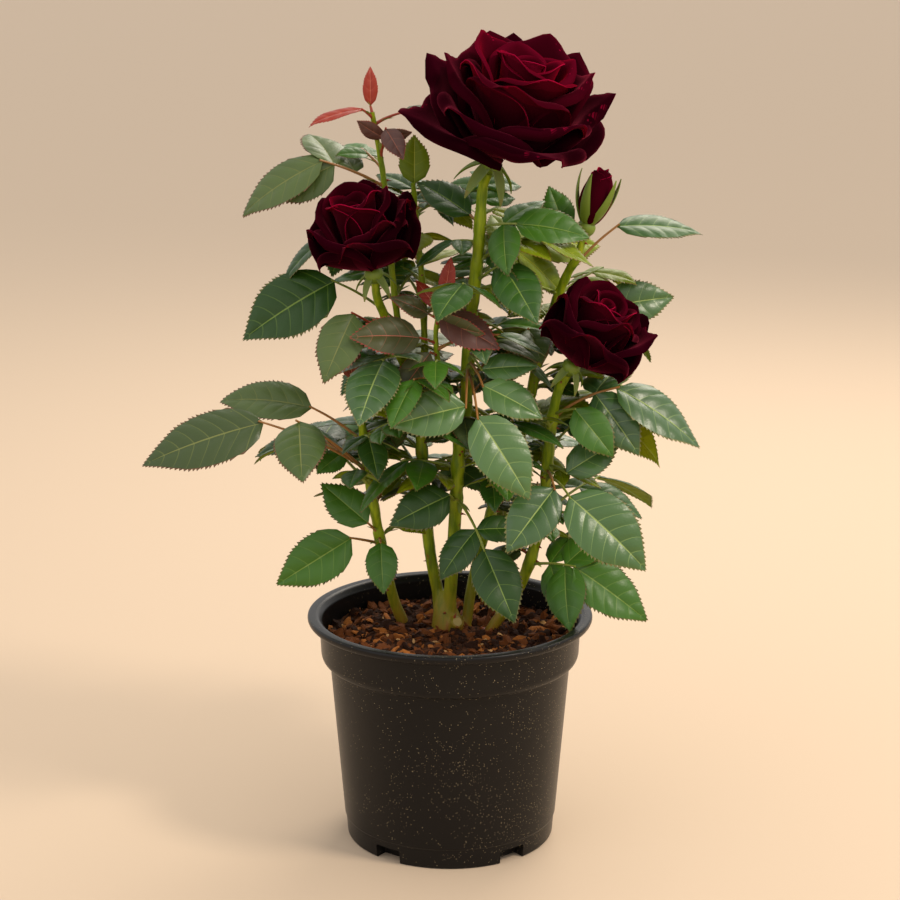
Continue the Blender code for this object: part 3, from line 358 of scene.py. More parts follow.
# compound leaves that give the bush its outline: route, height on it, bearing and rise of the
# stalk, its length, its sag, pairs of side leaflets, length of the end leaflet, bearing and rise
# of that, how far the leaf faces the front from straight up, and its tint
leafRows = [
    ("left", 0.196, 220, 22, 0.024, 6, 0, 0.058, 206, -37, 75, "green"),
    ("left", 0.203, 235, 44, 0.013, 6, 0, 0.043, 150, 34, 70, "green"),
    ("left", 0.201, 275, 4, 0.010, 10, 0, 0.035, 275, -58, 66, "green"),
    ("left", 0.249, 202, 36, 0.082, 16, 0, 0.082, 197, -22, 42, "dusky"),
    ("left", 0.246, 218, 46, 0.070, 16, 0, 0.056, 275, -32, 50, "dusky"),
    ("left", 0.268, 190, 44, 0.042, 16, 0, 0.062, 180, 2, 36, "dusky"),
    ("left", 0.288, 300, 47, 0.014, 6, 0, 0.042, 334, 22, 35, "green"),
    ("left", 0.306, 170, 70, 0.003, 0, 0, 0.036, 172, 70, 85, "red"),
    ("left", 0.302, 20, 60, 0.003, 0, 0, 0.026, 30, 64, 80, "bronze"),
    ("top_left", 0.344, 208, 44, 0.056, 20, 0, 0.070, 206, -34, 50, "green"),
    ("back", 0.330, 222, 46, 0.046, 20, 0, 0.050, 240, -56, 62, "dusky"),
    ("top_left", 0.434, 192, 30, 0.044, 14, 2, 0.064, 190, -36, 40, "dusky"),
    ("top_left", 0.478, 219, 40, 0.010, 10, 0, 0.037, 203, -16, 12, "red"),
    ("top_left", 0.481, 170, 76, 0.004, 0, 0, 0.025, 165, 78, 80, "red"),
    ("top_left", 0.474, 20, 30, 0.020, 20, 0, 0.036, 5, -4, 20, "bronze"),
    ("top_left", 0.452, 290, 66, 0.022, 10, 1, 0.026, 300, -45, 60, "bronze"),
    ("upper", 0.428, 80, 82, 0.006, 0, 0, 0.032, 95, 78, 85, "lime"),
    ("upper", 0.416, 20, 30, 0.030, 10, 1, 0.040, 10, 0, 30, "lime"),
    ("red", 0.338, 220, 26, 0.013, 10, 0, 0.046, 200, -6, 55, "bronze"),
    ("red", 0.330, 240, 20, 0.008, 0, 0, 0.038, 218, -54, 55, "bronze"),
    ("red", 0.354, 200, 30, 0.006, 0, 0, 0.028, 195, 12, 40, "bronze"),
    ("red", 0.350, 290, 50, 0.006, 0, 1, 0.044, 333, -26, 50, "bronze"),
    ("red", 0.364, 20, 70, 0.003, 0, 0, 0.026, 10, 68, 85, "red"),
    ("red", 0.358, 150, 60, 0.003, 0, 0, 0.024, 150, 72, 80, "red"),
    ("centre", 0.316, 277, 0, 0.052, 44, 0, 0.062, 316, -54, 56, "glossy"),
    ("centre", 0.320, 268, -2, 0.046, 40, 0, 0.050, 198, -20, 62, "glossy"),
    ("centre", 0.323, 285, 2, 0.034, 34, 0, 0.044, 335, -30, 50, "glossy"),
    ("centre", 0.328, 290, -4, 0.022, 20, 0, 0.036, 350, -2, 50, "glossy"),
    ("right", 0.246, 284, 12, 0.050, 26, 0, 0.068, 328, -44, 60, "glossy"),
    ("right", 0.250, 274, 10, 0.040, 24, 0, 0.052, 222, -50, 62, "glossy"),
    ("right", 0.254, 300, 8, 0.020, 20, 0, 0.042, 10, 20, 58, "glossy"),
    ("centre", 0.230, 296, -16, 0.046, 32, 1, 0.052, 304, -60, 62, "green"),
    ("centre", 0.226, 255, 36, 0.014, 8, 0, 0.045, 211, -26, 60, "green"),
    ("right", 0.184, 323, 16, 0.034, 16, 2, 0.060, 340, -41, 55, "green"),
    ("right", 0.284, 12, 20, 0.034, 16, 0, 0.056, 338, -42, -50, "lime"),
    ("right", 0.288, 305, 30, 0.022, 20, 0, 0.040, 320, -50, 62, "green"),
    ("right", 0.286, 352, 42, 0.046, 30, 1, 0.066, 344, -36, 28, "glossy"),
    ("bud", 0.384, 110, 60, 0.022, 0, 0, 0.032, 148, 54, 80, "green"),
    ("bud", 0.374, 0, 56, 0.048, 20, 0, 0.056, 0, -8, 20, "green"),
    ("centre", 0.412, 130, 34, 0.008, 6, 0, 0.043, 160, 22, 40, "green"),
    ("centre", 0.410, 330, 20, 0.024, 20, 1, 0.048, 348, -12, 42, "green"),
    ("centre", 0.374, 317, 42, 0.026, 20, 1, 0.050, 317, -46, 60, "green"),
    ("bud", 0.332, 14, 34, 0.046, 16, 0, 0.050, 0, 0, 66, "glossy"),
    ("centre", 0.378, 40, 30, 0.046, 20, 2, 0.058, 22, -8, 50, "lime"),
    ("back", 0.240, 118, 32, 0.078, 22, 2, 0.062, 118, -30, None, "green"),
    ("bud", 0.232, 74, 30, 0.070, 22, 2, 0.062, 70, -30, None, "glossy"),
    ("left", 0.236, 132, 34, 0.070, 22, 2, 0.060, 136, -28, None, "green"),
    ("right", 0.216, 46, 28, 0.060, 22, 1, 0.060, 40, -30, None, "green"),
    ("back", 0.300, 96, 36, 0.070, 26, 2, 0.060, 92, -24, None, "dusky"),
    ("bud", 0.308, 62, 36, 0.062, 24, 2, 0.060, 58, -24, None, "green"),
    ("upper", 0.356, 112, 34, 0.056, 26, 2, 0.058, 116, -20, None, "glossy"),
    ("centre", 0.366, 76, 30, 0.064, 26, 2, 0.056, 72, -20, None, "green"),
    ("upper", 0.410, 84, 34, 0.040, 26, 1, 0.054, 80, -14, None, "lime"),
    ("top_left", 0.400, 120, 34, 0.040, 26, 1, 0.052, 126, -16, None, "green"),
]
# leaves that fill the bush: route, lowest and highest leaf, how many, first bearing, leaflet length
fillerRows = [
    ("left", 0.212, 0.284, 3, 60, 0.052),
    ("centre", 0.240, 0.340, 5, 190, 0.046),
    ("back", 0.232, 0.350, 7, 20, 0.052),
    ("top_left", 0.345, 0.440, 3, 60, 0.046),
    ("upper", 0.345, 0.425, 3, 0, 0.046),
    ("right", 0.200, 0.276, 3, 90, 0.052),
    ("bud", 0.215, 0.372, 8, 130, 0.052),
    ("centre", 0.350, 0.425, 3, 200, 0.044),
    ("red", 0.300, 0.345, 2, 240, 0.036),
]
# young shoots that carry the masses on to finer twigs: route, lowest and highest, how many, first
# bearing, leaflet length
youngRows = [
    ("left", 0.192, 0.300, 6, 0, 0.029), ("right", 0.182, 0.285, 7, 150, 0.029),
    ("centre", 0.218, 0.345, 9, 80, 0.031), ("centre", 0.345, 0.425, 5, 150, 0.029),
    ("back", 0.225, 0.335, 8, 200, 0.031), ("bud", 0.207, 0.372, 10, 60, 0.031),
    ("top_left", 0.285, 0.460, 6, 170, 0.027), ("upper", 0.290, 0.430, 6, 90, 0.027),
    ("red", 0.290, 0.360, 3, 100, 0.024),
]
leafRule = {
    "halfWidth": 0.285, "thickness": 0.016, "fold": math.radians(12), "bend": math.radians(24),
    "long": 0.045, "longRows": (0.0, 0.30, 0.68), "shortRows": (0.0, 0.42), "stalkRadius": 0.0012,
    "stalkSteps": 3, "sideShare": (0.76, 0.60), "sideAngle": 68, "fillerFace": 22, "clear": 0.0012,
    "pairPlaces": {0: (), 1: (0.66,), 2: (0.78, 0.46)}, "goldenAngle": 137.5, "seed": 11,
}
# ways in which a leaflet turns aside, as yaw and pitch, and shifts that a filling leaf may take
turnsAside = [(0, 0), (0, 10), (0, -10), (12, 0), (-12, 0), (12, 12), (-12, 12), (12, -14), (-12, -14),
              (25, 0), (-25, 0), (0, 24), (0, -26), (25, 18), (-25, 18), (35, -20), (-35, -20)]
bearingShifts = (0, 30, -30, 60, -60, 95, -95, 140, 180)


def headMatrix(name):
    # puts +Z along the axis of a flower head, with the foot of the petals at zero
    foot, lean, bearing = heads[name]
    turn = Matrix.Rotation(math.radians(bearing), 4, "Z")
    tip = Matrix.Rotation(math.radians(lean), 4, "Y")
    return Matrix.Translation(foot) @ turn @ tip @ turn.inverted()


def routeMarks(name):
    marks = [Vector(mark) for mark in routes[name][0]]
    if name in headOf:
        matrix = headMatrix(headOf[name])
        marks.append(matrix @ Vector((0, 0, -hip["length"] - hip["neck"])))
        marks.append(matrix @ Vector((0, 0, -hip["length"] - clearance)))
    return marks


def smoothRoute(name):
    points = smoothLine(routeMarks(name), 6)
    footRadius, tipRadius = routes[name][1]
    return points, evenSteps(footRadius, tipRadius, len(points))


smoothRoutes = {name: smoothRoute(name) for name in routes}


def atHeight(name, height):
    points, radii = smoothRoutes[name]
    for index in range(len(points) - 1):
        low, high = points[index], points[index + 1]
        if height <= high.z or index == len(points) - 2:
            share = (height - low.z) / (high.z - low.z)
            radius = radii[index] + (radii[index + 1] - radii[index]) * share
            return low + (high - low) * share, (high - low).normalized(), radius


def stretch(name, start, end, spacing=0.014):
    # the part of a route between two heights, as points, radii and ways for a tube
    end = min(end, routeMarks(name)[-1].z)
    count = max(2, round((end - start) / spacing) + 1)
    found = [atHeight(name, height) for height in evenSteps(start, end, count)]
    ways = [entry[1] for entry in found]
    if start == routes[name][0][0][2]:
        ways[0] = upright
    return [entry[0] for entry in found], [entry[2] for entry in found], ways


class Leaflet:
    # one blade: its root, the way it points, its upper side and its length
    def __init__(self, root, along, up, length, bend=leafRule["bend"], width=leafRule["halfWidth"]):
        self.root = root
        self.along = along.normalized()
        self.up = (up - self.along * up.dot(self.along)).normalized()
        self.length = length
        self.bend = bend
        self.width = width

    def turnedAside(self, yaw, pitch):
        turn = Quaternion(self.up, math.radians(yaw))
        along = turn @ self.along
        lift = Quaternion(along.cross(self.up), math.radians(pitch))
        return Leaflet(self.root, lift @ along, lift @ self.up, self.length, self.bend, self.width)

    def halfWidth(self, t):
        # round at the root, drawn out at the tip
        share = math.sin(math.pi * t**0.80) ** 0.85 if 0 < t < 1 else 0.0
        return self.length * self.width * (share + 0.03 * (1 - t))

    def point(self, t, s, below=0.0):
        # t runs from root to tip, s from one edge to the other
        angle = self.bend * t
        run = self.length * math.sin(angle) / self.bend
        fall = self.length * (1 - math.cos(angle)) / self.bend
        up = self.up * math.cos(angle) + self.along * math.sin(angle)
        side = self.along.cross(self.up)
        half = self.halfWidth(t)
        fold = leafRule["fold"]
        return (self.root + self.along * run - self.up * fall + side * (s * half * math.cos(fold))
                + up * (abs(s) * half * math.sin(fold) - below))


def bladeRows(leaf):
    return leafRule["longRows"] if leaf.length > leafRule["long"] else leafRule["shortRows"]


def bladeSolid(leaf, thickness, rows):
    # the plain blade that finds room for a leaflet
    points, faces = [], []
    deep = thickness * leaf.length
    for t in rows:
        sunk = deep / 2 if t == 0 else 0
        points += [leaf.point(t, -1, sunk), leaf.point(t, 0), leaf.point(t, 1, sunk),
                   leaf.point(t, 0, deep)]
    tip = len(points)
    points.append(leaf.point(1, 0))
    sides = ((0, 1), (1, 2), (2, 3), (3, 0))
    for foot in range(0, tip - 4, 4):
        faces += [[foot + a, foot + b, foot + b + 4, foot + a + 4] for a, b in sides]
    faces += [[tip - 4 + a, tip - 4 + b, tip] for a, b in sides]
    faces.append([3, 2, 1, 0])
    return points, faces


def growLeaf(row, rng):
    route, height, bearing, rise, stalk, sag, pairs, size, bladeBearing, bladeRise, face, tint = row
    foot, _, radius = atHeight(route, height)
    facing = heading(bearing, 90 - leafRule["fillerFace"]) if face is None else heading(-90, 90 - face)
    steps = leafRule["stalkSteps"]
    points = [foot.copy()]
    for step in range(steps):
        ahead = heading(bearing, rise - sag * (step + 0.5) / steps)
        points.append(points[-1] + ahead * (stalk + radius) / steps)

    def onStalk(share):
        place = share * steps
        index = min(int(place), steps - 1)
        return points[index].lerp(points[index + 1], place - index)

    along = heading(bladeBearing, bladeRise + math.degrees(leafRule["bend"]) / 2)
    leaflets = [Leaflet(onStalk(0.96), along, facing, size)]
    for order, place in enumerate(leafRule["pairPlaces"][pairs]):
        ahead = heading(bearing, rise - sag * place)
        up = (facing - ahead * facing.dot(ahead)).normalized()
        for side in (1, -1):
            length = size * leafRule["sideShare"][min(order, 1)] * rng.uniform(0.9, 1.06)
            swing = Quaternion(up, math.radians(side * (leafRule["sideAngle"] + rng.uniform(-8, 8))))
            sideways = swing @ ahead
            drop = Quaternion(sideways.cross(up), math.radians(-rng.uniform(2, 16)))
            leaflets.append(Leaflet(onStalk(place), drop @ sideways, drop @ up, length))
    return points, leaflets


def fillingLeaves(rng):
    rows = []
    for route, low, high, count, bearing, size in fillerRows:
        for index in range(count):
            share = (index + 0.5) / count
            turn = bearing + leafRule["goldenAngle"] * index
            rise = rng.uniform(20, 50)
            stalk = rng.uniform(0.028, 0.046)
            sag = rng.uniform(15, 35)
            pairs = rng.choice((1, 2, 2))
            length = size * rng.uniform(0.85, 1.1)
            bladeTurn = turn + rng.uniform(-15, 15)
            bladeRise = rise - rng.uniform(45, 70)
            tint = rng.choice(("green", "green", "lime", "glossy"))
            rows.append((route, low + (high - low) * share, turn, rise, stalk, sag, pairs, length,
                         bladeTurn, bladeRise, None, tint))
    return rows


def youngLeaves(rng):
    rows = []
    for route, low, high, count, bearing, size in youngRows:
        for index in range(count):
            height = low + (high - low) * (index + 0.5) / count
            turn = bearing + leafRule["goldenAngle"] * index
            rise, sag = rng.uniform(15, 50), rng.uniform(10, 30)
            rows.append((route, height, turn, rise, rng.uniform(0.010, 0.026), sag,
                         rng.choice((1, 1, 2)), size * rng.uniform(0.8, 1.15),
                         turn + rng.uniform(-25, 25), rise - rng.uniform(35, 70), None,
                         rng.choice(("green", "green", "dusky", "lime"))))
    return rows


def shapeTree(shape):
    return BVHTree.FromPolygons(shape[0], shape[1])


def massOf(route, height):
    return next((name for name, stretches in masses for held, start, end in stretches
                 if held == route and start <= height < end), None)


def headRoom(name):
    if name == "bud":
        wide, tall, low = budSize["radius"] + 0.002, budSize["length"], 0.3
    else:
        size, opened = blooms[name]["size"], blooms[name]["open"]
        wide, tall, low = size * (0.66 + 0.28 * opened), size, 0.4
    profile = [(0, -0.010), (0.007, -0.009), (0.010, 0.0), (wide, tall * low),
               (wide, tall * 0.85), (0, tall * 1.15)]
    return moved(turned(profile, 16), headMatrix(name))


def sepalsOf(name):
    share, tilt, bend = sepalRule["bud" if name == "bud" else "open"]
    length = share * (budSize["length"] if name == "bud" else blooms[name]["size"])
    angle = math.radians(tilt)
    along = Vector((math.sin(angle), 0, math.cos(angle)))
    up = Vector((-math.cos(angle), 0, math.sin(angle)))
    root = Vector((hip["radius"] * 0.35, 0, -hip["length"] * 0.35))
    made = []
    for index in range(sepalRule["count"]):
        spin = Matrix.Rotation(math.radians(20 + 360 / sepalRule["count"] * index), 4, "Z")
        place = headMatrix(name) @ spin
        turn = place.to_3x3()
        made.append(Leaflet(place @ root, turn @ along, turn @ up, length, math.radians(bend),
                            sepalRule["width"]))
    return made


def takenRoom():
    # what the leaves keep clear of: canes, the pot's rim, heads and sepals
    clear = leafRule["clear"]
    owned = [(limb, [(route, start, end)]) for limb, route, start, end in limbs] + masses
    trees = []
    for owner, stretches in owned:
        for route, start, end in stretches:
            points, radii, ways = stretch(route, start, end)
            trees.append((owner, shapeTree(tube(points, [radius + clear for radius in radii], ways, 8))))
    mouth = pot["collarRadius"] - pot["wall"]
    rim = turned([(0, 0), (pot["lipRadius"], 0.0), (pot["lipRadius"], pot["height"]),
                  (mouth, pot["height"]), (mouth, soilLevel), (0, soilLevel)], 40)
    trees.append(("pot", shapeTree(rim)))
    for route, name in headOf.items():
        trees.append((massOf(route, routeMarks(route)[-1].z), shapeTree(headRoom(name))))
        for sepal in sepalsOf(name):
            thick = sepalRule["thick"] + 2 * clear / sepal.length
            trees.append(("sepal", shapeTree(bladeSolid(sepal, thick, leafRule["shortRows"]))))
    return trees


def placeLeaf(row, rng, taken):
    # grows a leaf clear of what is there, or gives None where its stalk has no room
    points, leaflets = growLeaf(row, rng)
    mass = massOf(row[0], row[1])
    clear = leafRule["clear"]
    stalk = shapeTree(tube(points, [leafRule["stalkRadius"] + clear] * len(points), waysAlong(points), 5))
    if any(tree.overlap(stalk) for owner, tree in taken if owner != mass):
        return None
    kept, trees = [], [(mass, stalk)]
    for leaf in leaflets:
        for yaw, pitch in turnsAside:
            tried = leaf.turnedAside(yaw, pitch)
            ahead = Leaflet(tried.root + tried.up * clear, tried.along, tried.up, tried.length * 1.01)
            thick = leafRule["thickness"] + 2 * clear / tried.length
            tree = shapeTree(bladeSolid(ahead, thick, (0.08, *bladeRows(tried)[1:])))
            if not any(other.overlap(tree) for _, other in taken):
                kept.append(tried)
                trees.append((mass, tree))
                break
    return points, kept, trees, len(leaflets)


def planFoliage():
    rng = random.Random(leafRule["seed"])
    taken = takenRoom()
    plan = {name: [] for name, _ in masses}
    rows = [(row, (0,)) for row in leafRows] + [(row, bearingShifts) for row in fillingLeaves(rng)]
    rows += [(row, bearingShifts) for row in youngLeaves(random.Random(leafRule["seed"] + 1))]
    for row, shifts in rows:
        best = None
        for shift in shifts:
            shifted = (*row[:2], row[2] + shift, *row[3:8], row[8] + shift, *row[9:])
            found = placeLeaf(shifted, rng, taken)
            if found and (best is None or len(found[1]) > len(best[1])):
                best = found
            if best and len(best[1]) == best[3]:
                break
        if best and best[1]:
            taken += best[2]
            plan[massOf(row[0], row[1])].append((row, best[0], best[1]))
    return plan


foliage = planFoliage()
print("foliage planned:", sum(len(leaflets) for sprays in foliage.values() for _, _, leaflets in sprays),
      "leaflets in", sum(len(sprays) for sprays in foliage.values()), "sprays")


leafLook = {
    "toothEvery": 0.0038,   # between teeth along the margin
    "toothDepth": 0.105,    # share of the half width
    "teethAVein": 3,
    "ribHalf": 0.0056,      # half the width of a side vein, share of the length
    "veinSlope": 0.24,      # how far a vein runs forward to the margin, share of the length
    "veinPale": 0.52,       # how far the side veins take the colour of the midrib
    "quilt": 0.0090,        # rise between the veins, share of the length
    "blade": 0.00030,       # thickness
    "columns": (0, 0.026, 0.22, 0.46, 0.72, 0.978, 1.0),
    "shine": {"green": 0.40, "dusky": 0.36, "glossy": 0.60, "lime": 0.26, "bronze": 0.40, "red": 0.30},
    "gloss": (0.36, 0.52),  # least and most roughness of the upper side
    "highGloss": (0.28, 0.42),
    "underGloss": (0.6, 0.7),
    "wear": 12,             # patches where the gloss wears off, in mm
    "net": (1.6, 0.05),     # mesh and depth of the net of fine veins, in mm
    # width against the rule's, for leaflets longer than this
    "slim": {"red": (0.66, 0), "bronze": (0.92, 0), "dusky": (0.84, 0.060)},
    "samples": 40,          # steps of the centre line
    "seed": 5,
}
# upper side in three shades, underside, midrib and margin
leafTints = {
    "green": (("#2c5212", "#264610", "#3c6616"), "#74861a", "#6f8834", "#5c5a24"),
    "dusky": (("#46592a", "#3e4e28", "#526434"), "#6c7a2c", "#72783c", "#66482c"),
    "glossy": (("#42642e", "#3a5a2a", "#4c6e36"), "#7a8e36", "#90a458", "#6e6c3c"),
    "lime": (("#74840a", "#66780a", "#86900c"), "#949c0e", "#a0a428", "#7c6a20"),
    "bronze": (("#4c4e2c", "#624430", "#5c3a32"), "#8e5230", "#a8624a", "#8a3626"),
    "red": (("#822818", "#92301e", "#74301a"), "#b04a32", "#c87458", "#94260e"),
}


def blended(first, second, share):
    # a hex colour between two others
    pairs = [(int(first[start:start + 2], 16), int(second[start:start + 2], 16)) for start in (1, 3, 5)]
    return "#%02x%02x%02x" % tuple(round(one + (other - one) * share) for one, other in pairs)


def addCuticle(made, gloss):
    # a gloss that wears off in places, over the fine net between the veins
    tree = made.node_tree
    shader = tree.nodes["Principled BSDF"]
    spot = addNode(tree, "ShaderNodeTexCoord")
    drift = addNode(tree, "ShaderNodeTexNoise",
                    {"Scale": 1000 / leafLook["wear"], "Detail": 4.0, "Roughness": 0.6},
                    {"Vector": spot.outputs["Object"]})
    worn = addNode(tree, "ShaderNodeMapRange",
                   {"From Min": 0.3, "From Max": 0.7, "To Min": gloss[0], "To Max": gloss[1]},
                   {"Value": drift.outputs[0]})
    tree.links.new(worn.outputs["Result"], shader.inputs["Roughness"])
    mesh, depth = leafLook["net"]
    net = addNode(tree, "ShaderNodeTexVoronoi", {"Scale": 1000 / mesh}, {"Vector": spot.outputs["Object"]})
    bump = addNode(tree, "ShaderNodeBump", {"Distance": depth / 1000}, {"Height": net.outputs["Distance"]})
    tree.links.new(bump.outputs["Normal"], shader.inputs["Normal"])
    return made


# living leaf: a waxed cuticle over soft tissue, which gives a clear sky gloss on a deep matt green
leafMaterials, leafSlots = [], {}
for tint, (uppers, under, vein, margin) in leafTints.items():
    gloss = leafLook["highGloss" if tint == "glossy" else "gloss"]
    kinds = [(f"upper{order}", shade) for order, shade in enumerate(uppers)]
    kinds += [(f"ribs{order}", blended(shade, vein, leafLook["veinPale"]))
              for order, shade in enumerate(uppers)]
    for kind, colour in kinds + [("under", under), ("vein", vein), ("margin", margin)]:
        leafSlots[tint, kind] = len(leafMaterials)
        leafName = f"{tint}Leaf{kind.capitalize()}"
        if kind in ("vein", "margin"):
            leafMaterials.append(newMaterial(leafName, colour, 0.5, grain=(0.6, 0.05)))
            continue
        shine = 0.2 if kind == "under" else leafLook["shine"][tint]
        skin = newMaterial(leafName, colour, 0.4, {"Specular IOR Level": shine})
        worn = leafLook["underGloss"] if kind == "under" else gloss
        leafMaterials.append(addCuticle(skin, worn))


def bladeShape(leaf, tint, shade, rng):
    # one leaflet as a closed thin blade: its rows run forward along the side veins to the teeth,
    # with a narrow strip for every side vein and the blade crowned between them
    beat = leafLook["teethAVein"]
    teeth = beat * max(4, round(leaf.length * 1.12 / leafLook["toothEvery"] / beat))
    slim, longer = leafLook["slim"].get(tint, (1.0, 0))
    wide = leaf.width * rng.uniform(0.98, 1.12) * (slim if leaf.length > longer else 1.0)
    bend = leaf.bend * rng.uniform(0.7, 1.25)
    hook = rng.uniform(-0.1, 0.6)
    wave, phase = rng.uniform(0.004, 0.016), rng.uniform(0, 6.28)
    twist = rng.uniform(-0.16, 0.16)
    fold = leafRule["fold"] * rng.uniform(0.7, 1.5)
    columns = [-s for s in leafLook["columns"][:0:-1]] + list(leafLook["columns"])
    side = leaf.along.cross(leaf.up)

    # centre line, bent as the rule bends it and hooked at the tip
    samples = leafLook["samples"]
    frames, centre = [], leaf.root.copy()
    for sample in range(samples + 1):
        t = sample / samples
        angle = bend * t + hook * max(0.0, t - 0.72) ** 2 * 8
        up = leaf.up * math.cos(angle) + leaf.along * math.sin(angle)
        ahead = leaf.along * math.cos(angle) - leaf.up * math.sin(angle)
        roll = Quaternion(ahead, twist * t)
        frames.append((centre.copy(), roll @ up, roll @ side, ahead))
        centre += ahead * (leaf.length / samples)

    def half(t):
        share = math.sin(math.pi * t**0.76) ** 0.72 if 0 < t < 1 else 0.0
        drawn = 1 - 0.42 * max(0.0, (t - 0.66) / 0.34) ** 1.3
        return leaf.length * wide * (share * drawn + 0.035 * (1 - t))

    # rows as (place along the blade, tooth or hollow, side of a vein)
    rows = []
    for mark in range(2 * teeth):
        tooth = mark % 2 == 1
        vein = tooth and mark // 2 % beat == beat // 2
        rows += [(mark, tooth, -1), (mark, tooth, 1)] if vein else [(mark, tooth, 0)]
    ribRows = {index for index, row in enumerate(rows) if row[2] == -1}
    uppers, lowers = [], []
    for mark, tooth, beside in rows:
        cut = leafLook["toothDepth"] * rng.uniform(0.45, 1.25)
        reached = rng.uniform(0.8, 1.1)
        crown = abs(math.sin(math.pi * (mark / 2 - beat // 2 - 0.5) / beat)) ** 0.8
        for s in columns:
            size = abs(s)
            v = mark / (2 * teeth) + beside * leafLook["ribHalf"] * (1 - 0.7 * size)
            slope = leafLook["veinSlope"] * size**1.25 * min(1.0, v / 0.10)
            t = min(1.0, v + slope * max(0.0, 1 - v) ** 0.75)
            index = min(int(t * samples), samples - 1)
            share = t * samples - index
            centre, up, across, ahead = [a.lerp(b, share) for a, b in zip(frames[index], frames[index + 1])]
            reach, forward = half(t) * s, 0.0
            if size == 1.0 and mark > 0:
                reach *= 1 + (cut * 0.6 if tooth else -cut * 0.7)
                forward = reached / (2 * teeth) * leaf.length if tooth else 0.0
            relief = crown * leafLook["quilt"] * leaf.length * min(1.0, 3.4 * (1 - size), 6 * size)
            relief *= min(1.0, 5 * t, 6 * (1 - t))
            groove = -0.006 * leaf.length * max(0.0, 1 - size / 0.14) * (1 - t)
            lift = size * half(t) * (math.sin(fold) - 0.20 * size**2)
            lift += wave * leaf.length * math.sin(phase + 9 * t + (2 if s > 0 else 0)) * size**2
            point = centre + across * (reach * math.cos(fold)) + up * (lift + relief + groove)
            point += ahead * forward
            uppers.append(point)
            rib = leafLook["blade"] * (1 + (1.6 * (1 - t) if size < 0.04 else 0))
            rib += 0.0003 + 0.004 * leaf.length * (1 - t) if s == 0 else 0
            lowers.append(point - up * rib)

    # upper side, underside and margin, which close on a last point at the tip
    count, width = len(rows), len(columns)
    points = uppers + lowers + [frames[-1][0]]
    under, tip = count * width, 2 * count * width
    faces, slots = [], []
    for row in range(count):
        onward = width if row < count - 1 else 0
        for column in range(width - 1):
            a = row * width + column
            middle = abs(columns[column] + columns[column + 1]) / 2
            top = f"ribs{shade}" if row in ribRows and middle < 0.9 else f"upper{shade}"
            top = "vein" if middle < 0.03 and row < count * 0.9 else top
            top = "margin" if middle > 0.965 else top
            if onward:
                faces += [[a, a + 1, a + 1 + width, a + width],
                          [under + a + width, under + a + 1 + width, under + a + 1, under + a]]
            else:
                faces += [[a, a + 1, tip], [tip, under + a + 1, under + a]]
            slots += [top, "vein" if middle < 0.03 else "under"]
        for a, flip in ((row * width, False), (row * width + width - 1, True)):
            strip = [a, a + onward, under + a + onward, under + a] if onward else [a, tip, under + a]
            faces.append(strip[::-1] if flip else strip)
            slots.append("margin")
    faces.append([*range(width)][::-1] + [under + column for column in range(width)])
    slots.append("under")
    return (points, faces), [leafSlots[tint, kind] for kind in slots]


leafPieces = {
    "leavesLeft": ("foliage_left_low", "foliage_left_top", "foliage_top_left"),
    "leavesMiddle": ("foliage_centre_low", "foliage_centre_mid", "foliage_centre_top"),
    "leavesBack": ("foliage_back_low", "foliage_back_mid", "foliage_upper"),
    "leavesRight": ("foliage_right_low", "foliage_right_top", "foliage_bud_low", "foliage_bud_mid",
                    "foliage_bud_top"),
}
leafRandom = random.Random(leafLook["seed"])
for pieceName, held in leafPieces.items():
    leafPile = Pile()
    for massName in held:
        for row, _, leaflets in foliage[massName]:
            shade = leafRandom.randrange(3)
            for leaf in leaflets:
                if row[-1] == "bronze":
                    shade = leafRandom.randrange(3)
                leafPile.add(*bladeShape(leaf, row[-1], shade, leafRandom))
    finishPiece(leafPile.build(pieceName, leafMaterials), "rose_leaves", *held)


stalkLook = {"footRadius": 0.00115, "tipRadius": 0.00070, "footSwell": (1.5, 1.15), "sides": 7,
             "stipule": 0.010, "stipuleTurn": 28, "seed": 9}
# soft green rind with a red flush where the sun has caught it
stalkMaterials = [
    newMaterial("greenRind", "#7f8c34", 0.45, grain=(0.8, 0.08)),
    newMaterial("flushedRind", "#9a6a34", 0.45, grain=(0.8, 0.08)),
    newMaterial("redRind", "#9c3f28", 0.42, grain=(0.8, 0.08)),
    newMaterial("stipuleGreen", "#8a9a44", 0.55, grain=(0.6, 0.05)),
]
# the rinds that a leaf of each tint may have
stalkSlot = {"green": (0, 1), "dusky": (1, 2), "glossy": (0, 1), "lime": (0, 0), "bronze": (2, 2),
             "red": (2, 2)}
stalkRandom = random.Random(stalkLook["seed"])
stalkPile = Pile()
for massName, sprays in foliage.items():
    for row, points, leaflets in sprays:
        line = smoothLine(points, 4)
        radii = evenSteps(stalkLook["footRadius"], stalkLook["tipRadius"], len(line))
        radii[:2] = [radius * swell for radius, swell in zip(radii, stalkLook["footSwell"])]
        slot = stalkRandom.choice(stalkSlot[row[-1]])
        stalkPile.add(tube(line, radii, waysAlong(line), stalkLook["sides"]), slot)
        ahead = (points[1] - points[0]).normalized()
        root = points[0] + ahead * (row[4] * 0.06 + 0.003)
        wingLength = min(stalkLook["stipule"], 0.35 * row[4] + 0.004)
        for turnBy in (-stalkLook["stipuleTurn"], stalkLook["stipuleTurn"]):
            outward = Quaternion(upright, math.radians(turnBy)) @ ahead
            wing = Leaflet(root, outward, upright + ahead * 0.2, wingLength, width=0.14)
            stalkPile.add(bladeSolid(wing, 0.03, (0.0, 0.25, 0.55, 0.8)), 3)
finishPiece(stalkPile.build("leafStalks", stalkMaterials), "green_cane")


